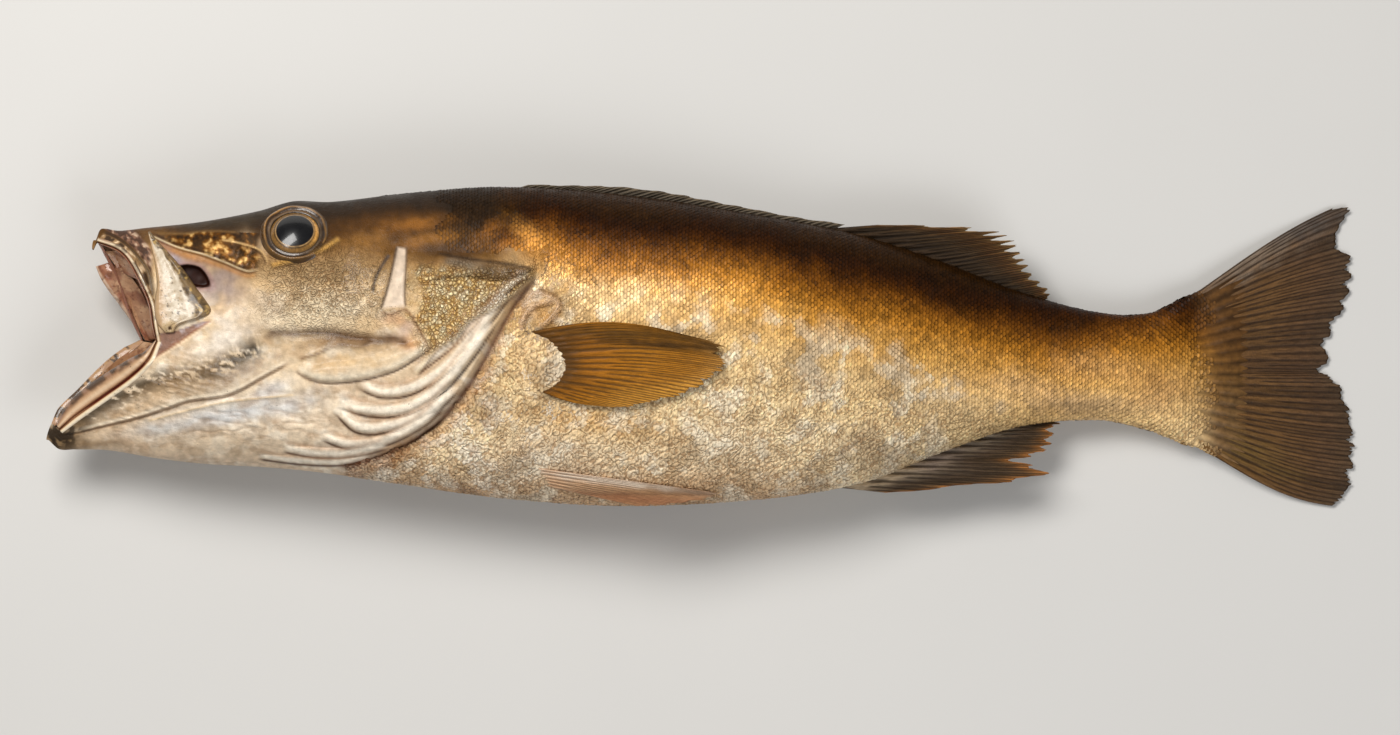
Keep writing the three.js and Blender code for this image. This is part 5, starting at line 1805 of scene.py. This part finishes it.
def head_skin(skin):
    """Wet skin of the head: its own colours under pebbles, winding furrows, dark flecks and
    a fine net of relief, each where the masks and the grain let it."""
    made = Finish("head skin")
    fleck, gold, pebble = made.parts("masks")
    worm, plain, wet = made.parts("grain")
    pebble, worm, fleck = made.times(pebble, 0.8), made.times(worm, 0.9), made.times(fleck, 0.8)
    paint = made.values("paint")
    colour, height = made.lined("pebbles", 500.0, paint, (160, 130, 96), pebble)
    colour, ridges = made.lined("squiggles", 220.0, colour, (158, 128, 92), worm)
    height = made.math("MULTIPLY_ADD", ridges, 1.1, height)
    colour = made.flecked(colour, 620.0, skin.fleck_colour, fleck)
    fine = made.times(made.times(made.wrinkles(750.0), plain), 0.6)
    made.relief(made.math("MULTIPLY_ADD", height, 1.6, fine), 0.9, 0.001)
    return made.set(
        Base_Color=made.toned(colour, made.stains(260.0, 0.3, 0.7, 0.8, 1.18, 4.0)),
        Roughness=made.mottled(90.0, skin.roughness - 0.1, skin.roughness + 0.12),
        Metallic=made.times(gold, 0.35), Coat_Weight=made.times(wet, skin.wetness * 0.8),
        Coat_Roughness=0.12, Coat_IOR=1.33, Specular_IOR_Level=0.14,
    )


def scale_skin(skin):
    """Scales: each with its own tone, metallic in the gold band, wet below the dark back
    and lined by winding furrows where the skin is slack."""
    made = Finish("scales")
    wet, gold, slack = made.parts("masks")
    colour = made.toned(made.values("paint"), made.stains(420.0, 0.3, 0.7, 0.78, 1.2))
    slack = made.times(slack, 0.6)
    colour, ridges = made.lined("squiggles", 130.0, colour, (160, 126, 88), slack)
    made.relief(ridges, 0.8, 0.0009)
    return made.set(
        Base_Color=colour, Metallic=made.times(gold, 0.3),
        Roughness=made.mottled(140.0, skin.roughness - 0.12, skin.roughness + 0.1),
        Coat_Weight=made.times(wet, skin.wetness * 0.5),
        Coat_Roughness=0.14, Coat_IOR=1.33, Specular_IOR_Level=0.09,
    )


def plain_skin(skin):
    """Skin that shows in the gaps between the scales; its points carry colour darkened as painted shade."""
    made = Finish("skin under the scales")
    made.relief(made.wrinkles(900.0), 0.5, 0.0005)
    return made.set(
        Base_Color=made.toned(made.values("paint"), made.stains(300.0, 0.3, 0.7, 0.7, 1.2)),
        Roughness=skin.roughness + 0.1, Coat_Weight=skin.wetness * 0.3, Coat_Roughness=0.2,
        Specular_IOR_Level=0.1,
    )


def lip_skin(skin):
    """Wet bare skin of lips and jaws: mottled by flecks and smears."""
    made = Finish("lips")
    made.relief(made.wrinkles(420.0), 0.5, 0.0005)
    return made.set(
        Base_Color=made.flecked(made.values("paint"), 480.0, skin.fleck_colour, 0.5),
        Roughness=made.mottled(120.0, 0.25, 0.5),
        Coat_Weight=0.45, Coat_Roughness=0.12, Specular_IOR_Level=0.35,
    )


def jaw_bone(skin):
    """Thin wet skin over the bone of the jaw plate: pale, finely stained and veined."""
    made = Finish("jaw plate")
    stain = made.stains(330.0, 0.42, 0.7, 0.0, 0.6, 5.0, 0.65)
    colour = made.blend(stain, made.values("paint"), rgba(tint(150, 122, 84)))
    made.relief(made.wrinkles(300.0), 0.35, 0.0005)
    return made.set(
        Base_Color=made.flecked(colour, 700.0, skin.fleck_colour, 0.55),
        Roughness=made.mottled(160.0, 0.3, 0.55),
        Coat_Weight=0.3, Coat_Roughness=0.12, Specular_IOR_Level=0.35,
    )


def mouth_skin(skin):
    """Wet lining of the mouth: reddish brown with darker veins and folds."""
    made = Finish("mouth lining")
    soft, veins = (
        made.stains(150.0, 0.35, 0.65, 0.0, 0.6, 4.0), made.stains(420.0, 0.56, 0.66, 0.0, 0.55)
    )
    colour = made.blend(soft, made.values("paint"), rgba(skin.lining_colour))
    made.relief(made.noise(made.place, 260.0, 4.0), 0.6, 0.0012)
    return made.set(
        Base_Color=made.blend(veins, colour, rgba(tint(92, 44, 32))), Roughness=0.36,
        Coat_Weight=0.5, Coat_Roughness=0.1, Specular_IOR_Level=0.35,
    )


def eye_gloss(eye):
    """The eye under its clear wet skin."""
    made = Finish("eye")
    return made.set(
        Base_Color=made.toned(made.values("paint"), made.stains(900.0, 0.3, 0.7, 0.75, 1.2)),
        Roughness=made.mottled(60.0, 0.2, 0.35), Coat_Weight=0.7,
        Coat_Roughness=eye.gloss_roughness, Coat_IOR=1.4, Specular_IOR_Level=0.3,
    )


def fin_skin(name, fin):
    """Damp fin: its own colours with long streaks along the rays."""
    made = Finish(name)
    streak = made.effect("streaks", Grain=made.values("grain", "Vector"))[0]
    contrast = fin.streak_contrast
    gain = made.math("MULTIPLY_ADD", streak, contrast, 1.0 - contrast * 0.55)
    made.relief(streak, 0.5, 0.0005)
    return made.set(
        Base_Color=made.toned(made.values("paint"), gain),
        Roughness=made.mottled(110.0, fin.roughness - 0.1, fin.roughness + 0.12),
        Coat_Weight=0.1, Coat_Roughness=0.16, Coat_IOR=1.33, Specular_IOR_Level=0.12,
    )


# ---- Settings ----


class SkinSettings(bpy.types.PropertyGroup):
    """Sizes and colours of the skin and scales."""

    scale_pitch: FloatProperty(
        name="Scale pitch", description="Distance from one scale to the next",
        default=2.7 * MM, min=1.5 * MM, max=5 * MM, precision=4, subtype="DISTANCE", unit="LENGTH",
    )
    scale_lift: FloatProperty(
        name="Scale lift", description="How far the rear rim of a scale stands off the skin",
        default=0.36 * MM, min=0, max=1 * MM, precision=5, subtype="DISTANCE", unit="LENGTH",
    )
    head_spacing: FloatProperty(
        name="Head detail", description="Distance between the sections of the head's skin",
        default=0.74 * MM, min=0.5 * MM, max=5 * MM, precision=5, subtype="DISTANCE", unit="LENGTH",
    )
    roughness: FloatProperty(
        name="Roughness", description="Roughness of the skin under the slime",
        default=0.42, min=0.15, max=0.85, subtype="FACTOR",
    )
    wetness: FloatProperty(
        name="Wetness", description="How much clear slime lies on the skin",
        default=0.3, min=0, max=1, subtype="FACTOR",
    )
    fleck_colour: FloatVectorProperty(
        name="Flecks", description="Colour of the pigment flecks",
        default=tuple(tint(52, 42, 30)), size=3, min=0, max=1, subtype="COLOR",
    )
    lining_colour: FloatVectorProperty(
        name="Mouth lining", description="Colour of the inside of the mouth",
        default=tuple(tint(164, 112, 80)), size=3, min=0, max=1, subtype="COLOR",
    )


class EyeSettings(bpy.types.PropertyGroup):
    """Looks of the eyes."""

    pupil_colour: FloatVectorProperty(
        name="Pupil", description="Colour of the pupil",
        default=tuple(tint(9, 10, 14)), size=3, min=0, max=1, subtype="COLOR",
    )
    gloss_roughness: FloatProperty(
        name="Gloss roughness", description="Roughness of the clear skin over the eye",
        default=0.08, min=0, max=0.5, subtype="FACTOR",
    )


class FinSettings(bpy.types.PropertyGroup):
    """Sizes and looks of the fins."""

    ray_height: FloatProperty(
        name="Ray height", description="How far the rays stand out of a fin, as a share of its thickness",
        default=0.75, min=0, max=1.5, subtype="FACTOR",
    )
    roughness: FloatProperty(
        name="Roughness", description="Roughness of the damp fins",
        default=0.45, min=0.15, max=0.85, subtype="FACTOR",
    )
    streak_contrast: FloatProperty(
        name="Streaks", description="Contrast of the streaks along the rays",
        default=0.7, min=0, max=1, subtype="FACTOR",
    )


class StageSettings(bpy.types.PropertyGroup):
    """Floor, lights and camera."""

    floor_colour: FloatVectorProperty(
        name="Floor", description="Colour of the floor",
        default=(0.62, 0.61, 0.59), size=3, min=0, max=1, subtype="COLOR",
    )
    key_power: FloatProperty(
        name="Key light", description="Power of the large light from the upper left",
        default=44, min=0, unit="POWER",
    )
    fill_power: FloatProperty(
        name="Fill light", description="Power of the light from the lower right",
        default=15, min=0, unit="POWER",
    )
    lens: FloatProperty(name="Lens", description="Focal length in millimetres", default=250, min=50, max=500)
    shown_width: FloatProperty(
        name="Shown width", description="Width of the picture at the fish",
        default=0.770, min=0.1, max=5, subtype="DISTANCE", unit="LENGTH",
    )


# ---- Pieces ----

INSIDE_HEAD, INSIDE_TRUNK = (-200, 0, 38), (80, -5, 30)


class SEABASS_OT_head(bpy.types.Operator):
    """Make the skin of both sides of the head"""

    bl_idname = "seabass.head"
    bl_label = "Head"

    def execute(self, context):
        skin = context.scene.sea_bass_skin
        fine = (LEFT, skin.head_spacing / MM, 128, fine_forms, LEFT_UPPER_EDGE, LEFT_LOWER_EDGE)
        plain = (RIGHT, 2.4, 44, plain_forms, RIGHT_UPPER_EDGE, RIGHT_LOWER_EDGE)
        material = head_skin(skin)
        for name, sheet, nodes in (("left", fine, ("fish",)), ("right", plain, ())):
            points, faces = used_only(*head_sheet(*sheet))
            paint = head_paint(*points.T)
            put_piece(
                f"head_{name}", points, faces, material, "skin", *paint,
                away_from=INSIDE_HEAD, replaces=nodes,
            )
        return {"FINISHED"}


class SEABASS_OT_trunk(bpy.types.Operator):
    """Make the plain skin of the trunk that lies under the scales"""

    bl_idname = "seabass.trunk"
    bl_label = "Trunk"

    def execute(self, context):
        points = trunk_tube(2.0, 80)
        x, y, z = np.moveaxis(points, -1, 0)
        under = along(AMBER_LINE, x)[..., 0] - y
        # Painted shade: the skin under the scales is darkened to show as shade in the gaps between them, and
        # over the tail's roots it is darker in the troughs between the rays.
        rays = mix(0.85, 0.5, smooth(x, 276, 300)) + 0.3 * tail_roots(x, y)
        shade = mix(mix(0.34, 0.62, smooth(under, 20, 60)), rays, smooth(x, 266, 278))
        colour = unit(trunk_paint(x, y, z) * shade[..., None])
        material = plain_skin(context.scene.sea_bass_skin)
        faces = grid_faces(*x.shape, wrap=True)
        put_piece("trunk", points, faces, material, "skin", colour, away_from=INSIDE_TRUNK)
        return {"FINISHED"}


class SEABASS_OT_scales(bpy.types.Operator):
    """Lay the scales over both sides of the trunk"""

    bl_idname = "seabass.scales"
    bl_label = "Scales"

    def execute(self, context):
        skin = context.scene.sea_bass_skin
        material = scale_skin(skin)
        pitch, lift = skin.scale_pitch / MM, skin.scale_lift / MM
        places, turns = scale_places(LEFT, -200, 292, pitch, left_scaled)
        for k, (low, high) in enumerate(((-200, -20), (-20, 70), (70, 300))):
            part = (places >= low) & (places < high)
            points, faces, *paint = scale_tiles(
                LEFT, places[part], turns[part], pitch, lift, FINE_ROWS, 700 + k
            )
            put_piece(f"scales_left_{k + 1}", points, faces, material, "skin", *paint)
        pitch *= 1.6
        places, turns = scale_places(RIGHT, -190, 268, pitch, right_scaled)
        points, faces, *paint = scale_tiles(RIGHT, places, turns, pitch, lift, PLAIN_ROWS, 710)
        put_piece("scales_right", points, faces[:, ::-1], material, "skin", *paint)
        return {"FINISHED"}


class SEABASS_OT_mouth(bpy.types.Operator):
    """Make the lips and the lining of the mouth"""

    bl_idname = "seabass.mouth"
    bl_label = "Mouth"

    def execute(self, context):
        skin = context.scene.sea_bass_skin
        points, share, kinds = lip_points()
        rows, columns = points.shape[:2]
        faces = grid_faces(rows + 1, columns)[:, ::-1] % (rows * columns)
        paint = lip_paint(points, share, kinds)
        put_piece("lips", points, faces, lip_skin(skin), "mouth", paint)
        lining = mouth_skin(skin)
        for name, run in zip(("mouth_roof", "mouth_floor"), lining_points()):
            paint = lining_paint(run, name == "mouth_roof")
            put_piece(name, run, grid_faces(*run.shape[:2]), lining, "mouth", paint)
        for k, fold in enumerate(PALATE_FOLDS):
            shell, u, v = palate_fold(*fold)
            faces, paint = shell_faces(*u.shape), np.stack([palate_paint(u, v)] * 2)
            put_piece(f"palate_fold_{k + 1}", shell, faces, lining, "mouth", paint, weld=True)
        return {"FINISHED"}


# Tones across each lip, from the skin into the mouth: left upper, right upper, right
# lower, left lower.
LIP_TONES = [
    [
        [0, 150, 118, 82], [0.1, 150, 120, 84], [0.18, 226, 208, 178], [0.26, 206, 178, 140],
        [0.34, 96, 58, 38], [0.5, 150, 100, 72], [1, 140, 88, 60],
    ],
    [
        [0, 150, 110, 86], [0.2, 206, 170, 140], [0.3, 226, 196, 166], [0.42, 186, 136, 108],
        [0.7, 164, 110, 84], [1, 140, 88, 66],
    ],
    [
        [0, 76, 56, 40], [0.15, 96, 70, 50], [0.3, 128, 96, 68], [0.45, 146, 112, 78],
        [0.7, 170, 132, 92], [1, 176, 138, 98],
    ],
    [
        [0, 214, 186, 150], [0.1, 236, 220, 194], [0.22, 228, 206, 170], [0.29, 156, 104, 68],
        [0.35, 92, 36, 22], [0.41, 112, 52, 34], [0.46, 184, 142, 106], [0.52, 220, 190, 156],
        [0.58, 196, 158, 122], [0.64, 136, 100, 70], [0.72, 100, 72, 48], [0.8, 110, 80, 54], [1, 78, 56, 40],
    ],
]


def lip_paint(points, share, kinds):
    """Colour of the lips: tones across each of the four, mottled on the right lower one."""
    x, y = points[..., 0], points[..., 1]
    s = np.broadcast_to(share, x.shape)
    left_upper, _, right_lower, left_lower = ((kinds == k)[:, None] for k in range(4))
    colour = np.zeros((*x.shape, 3))
    for k, rows in enumerate(LIP_TONES):
        colour = np.where((kinds == k)[:, None, None], tones(rows, s), colour)
    faded = 1 - smooth(x, -347, -334) * smooth(-301 - x, 0, 8)
    smear = clouds(x, y, 4, 211)
    mottled = right_lower + 0.8 * left_lower * smooth(s, 0.56, 0.66)
    mottled = mottled + 0.8 * left_upper * bell(s - 0.12, 0.14)
    return lay(
        colour,
        ((184, 140, 98), 0.8 * left_lower * bell(s - 0.37, 0.05) * faded),
        ((56, 40, 30), 0.9 * mottled * smooth(smear, 0.48, 0.6)),
        ((176, 138, 116), 0.5 * mottled * smooth(0.45 - smear, 0, 0.1)),
    )


def lining_paint(points, roof):
    """Colour of the hollow: salmon with pale ridges over the roof, tan on the floor near the lips, and darker
    towards the throat as painted shade deep in the hollow."""
    x, y, z = np.moveaxis(points, -1, 0)
    ridge = clouds(x * 0.5 + y, z * 0.4 + y * 0.7, 7, 221)
    return lay(
        np.broadcast_to(tint(156, 96, 68) if roof else tint(170, 126, 88), points.shape),
        ((206, 166, 126), 0.8 * smooth(ridge, 0.5, 0.64)),
        ((112, 60, 42), 0.7 * smooth(0.44 - ridge, 0, 0.14)),
        # Painted shade deeper in the mouth.
        ((84, 46, 36), 0.85 * smooth(x, -312, -262)),
    )


class SEABASS_OT_jaw_plates(bpy.types.Operator):
    """Make the bony plate of the upper jaw on both sides"""

    bl_idname = "seabass.jaw_plates"
    bl_label = "Jaw plates"

    def execute(self, context):
        material = jaw_bone(context.scene.sea_bass_skin)
        for name, side in (("left", LEFT), ("right", RIGHT)):
            points, u, v = plate_points(side)
            paint = np.stack([plate_paint(points[0, ..., 0], points[0, ..., 1], u, v)] * 2)
            faces = shell_faces(*points.shape[1:3])
            put_piece(f"jaw_plate_{name}", points, faces, material, "skin", paint, weld=True)
        return {"FINISHED"}


class SEABASS_OT_eyes(bpy.types.Operator):
    """Make the eyeballs and the rings round them"""

    bl_idname = "seabass.eyes"
    bl_label = "Eyes"

    def execute(self, context):
        eye = context.scene.sea_bass_eye
        ball, rim = eye_gloss(eye), lip_skin(context.scene.sea_bass_skin)
        for name, side in (("left", LEFT), ("right", RIGHT)):
            points, radius, turn = eyeball_points(side)
            inner = np.broadcast_to(smooth(PUPIL - 0.6 - radius, 0, 0.4)[:, None], points.shape[:2])
            paint = over(eyeball_paint(radius, turn), np.array(eye.pupil_colour), inner)
            put_piece(
                f"eyeball_{name}", points, grid_faces(*points.shape[:2], wrap=True), ball, "eye",
                paint, weld=True, replaces=(f"eye_{name}",),
            )
            points, share, turn = rim_points(side)
            middle = points.reshape(-1, 3).mean(0) - eye_frame(side, 0)[3] * 30
            put_piece(
                f"eye_rim_{name}", points, grid_faces(*points.shape[:2], wrap=True), rim, "skin",
                rim_paint(share, turn), away_from=middle,
            )
        return {"FINISHED"}


def put_fin(name, fin, size, sheet, colours, settings, seed, length):
    """Makes one fin: its shell, its colours and, as its grain, the place of each point
    among the rays, along them and above the gaps."""
    points, faces, facts = fin_shell(fin, *size, sheet, settings.ray_height, seed)
    u, v, _, _, height, _ = facts
    grain = np.stack([np.stack([u * fin.rays, v * length / 10, height], -1)] * 2)
    paint = fin_colours(facts, *colours, seed=seed + 50)
    material = fin_skin(name.replace("_", " "), settings)
    put_piece(name, points, faces, material, "fin", paint, grain=grain, weld=True)


class SEABASS_OT_tail(bpy.types.Operator):
    """Make the tail fin"""

    bl_idname = "seabass.tail"
    bl_label = "Tail fin"

    def execute(self, context):
        settings = context.scene.sea_bass_fin
        colours = (TAIL_TONES, (46, 30, 16), 0.8, 0.7, TAIL_PATCHES)
        put_fin("tail_fin", TAIL, (72, 560), tail_sheet, colours, settings, 400, 110)
        return {"FINISHED"}


class SEABASS_OT_back_and_belly_fins(bpy.types.Operator):
    """Make the two fins of the back and the fin before the tail"""

    bl_idname = "seabass.back_and_belly_fins"
    bl_label = "Back and belly fins"

    def execute(self, context):
        settings = context.scene.sea_bass_fin
        sheets = middle_sheet(62, 180), lambda x, y, u, v: section(x)[5], middle_sheet(78, 180)
        soft = (SOFT_DORSAL_TONES, (34, 24, 14), 0.85, 0.9)
        put_fin("soft_back_fin", SOFT_DORSAL, (56, 300), sheets[0], soft, settings, 410, 60)
        spiny = (SPINY_DORSAL_TONES, (42, 34, 26), 0.8, 0.6)
        put_fin("spiny_back_fin", SPINY_DORSAL, (24, 420), sheets[1], spiny, settings, 420, 30)
        anal = (ANAL_TONES, (44, 32, 22), 0.75, 0.8, ANAL_PATCHES)
        put_fin("belly_fin", ANAL, (56, 300), sheets[2], anal, settings, 430, 70)
        return {"FINISHED"}


class SEABASS_OT_side_fins(bpy.types.Operator):
    """Make the breast fins and the belly pair"""

    bl_idname = "seabass.side_fins"
    bl_label = "Side fins"

    def execute(self, context):
        settings = context.scene.sea_bass_fin
        amber = (PECTORAL_TONES, (84, 56, 22), 0.8, 0.5, PECTORAL_PATCHES)
        flank = flank_sheet(LEFT, lambda v: mix(-1.4, 1.8, smooth(v, 0, 0.14)) + 2.6 * v)
        put_fin("breast_fin_left", PECTORAL, (64, 340), flank, amber, settings, 440, 105)
        right = RIGHT_PECTORAL, (40, 160), under_sheet
        put_fin("breast_fin_right", *right, amber, settings, 450, 95)
        pink = (PELVIC_TONES, (130, 92, 64), 0.6, 0.4, PELVIC_PATCHES)
        for name, side in (("left", LEFT), ("right", RIGHT)):
            sheet = flank_sheet(side, lambda v: mix(-1.5, 1.6, smooth(v, 0, 0.2)))
            put_fin(f"belly_pair_fin_{name}", PELVIC, (40, 160), sheet, pink, settings, 460, 100)
        return {"FINISHED"}


# ---- Stage ----


def add_light(name, place, target, width, height, power, colour):
    """A soft rectangular light that looks at a place."""
    data = bpy.data.lights.new(name, "AREA")
    data.shape, data.size, data.size_y = "RECTANGLE", width, height
    data.energy, data.color = power, colour
    light = put_object(name, data)
    light.location = place
    look = mathutils.Vector(target) - mathutils.Vector(place)
    light.rotation_euler = look.to_track_quat("-Z", "Y").to_euler()


class SEABASS_OT_stage(bpy.types.Operator):
    """Make the floor, the lights and the camera"""

    bl_idname = "seabass.stage"
    bl_label = "Stage"

    def execute(self, context):
        scene, settings = context.scene, context.scene.sea_bass_stage
        half, low = 40.0, -0.0004
        corners = [(-half, -half, low), (half, -half, low), (half, half, low), (-half, half, low)]
        mesh = bpy.data.meshes.new("floor")
        mesh.from_pydata(corners, [], [(0, 1, 2, 3)])
        made = Finish("pale floor")
        soft = made.stains(3.0, 0.3, 0.7, 0.0, 1.0, 4.0)
        pale = tuple(min(1.0, value * 1.03) for value in settings.floor_colour)
        colour = made.blend(soft, rgba(settings.floor_colour), rgba(pale))
        mesh.materials.append(made.set(Base_Color=colour, Roughness=0.7))
        floor = put_object("floor", mesh)
        target = (0, 0, 0.04)
        key, fill = (settings.key_power, (1, 0.98, 0.95)), (settings.fill_power, (0.95, 0.97, 1))
        add_light("key", (-0.75, 1.0, 1.7), target, 1.3, 0.8, *key)
        add_light("fill", (0.9, -1.1, 1.5), target, 1.6, 1.0, *fill)
        scene.world = bpy.data.worlds.new("studio")
        scene.world.use_nodes = True
        inputs = scene.world.node_tree.nodes["Background"].inputs
        inputs[0].default_value, inputs[1].default_value = (1.0, 0.97, 0.93, 1), 0.2
        scene.view_settings.view_transform = "Standard"
        data = bpy.data.cameras.new("camera")
        data.sensor_width, data.lens, data.clip_end = 36, settings.lens, 100
        camera = put_object("camera", data)
        distance = settings.shown_width * settings.lens / data.sensor_width
        camera.location = (-0.0025, -0.0121, 0.04 + distance)
        scene.camera = camera
        return {"FINISHED"}


class SEABASS_PT_sidebar(bpy.types.Panel):
    """Lists the makers and the settings of the fish"""

    bl_label = "Sea bass"
    bl_idname = "SEABASS_PT_sidebar"
    bl_space_type = "VIEW_3D"
    bl_region_type = "UI"
    bl_category = "Sea bass"

    def draw(self, context):
        layout = self.layout
        for operator in OPERATORS:
            layout.operator(operator.bl_idname)
        for name, settings in SETTINGS.items():
            box = layout.box()
            for prop in settings.__annotations__:
                box.prop(getattr(context.scene, name), prop)


SETTINGS = {
    "sea_bass_skin": SkinSettings,
    "sea_bass_eye": EyeSettings,
    "sea_bass_fin": FinSettings,
    "sea_bass_stage": StageSettings,
}
OPERATORS = (
    SEABASS_OT_head,
    SEABASS_OT_trunk,
    SEABASS_OT_scales,
    SEABASS_OT_mouth,
    SEABASS_OT_jaw_plates,
    SEABASS_OT_eyes,
    SEABASS_OT_tail,
    SEABASS_OT_back_and_belly_fins,
    SEABASS_OT_side_fins,
    SEABASS_OT_stage,
)
CLASSES = (*SETTINGS.values(), *OPERATORS, SEABASS_PT_sidebar)


def register():
    for made in CLASSES:
        bpy.utils.register_class(made)
    for name, settings in SETTINGS.items():
        setattr(bpy.types.Scene, name, PointerProperty(type=settings))


def unregister():
    for name in SETTINGS:
        delattr(bpy.types.Scene, name)
    for made in reversed(CLASSES):
        bpy.utils.unregister_class(made)


def main():
    """Makes every piece and the stage."""
    register()
    for operator in OPERATORS:
        group, name = operator.bl_idname.split(".")
        getattr(getattr(bpy.ops, group), name)()


if __name__ == "__main__":
    main()
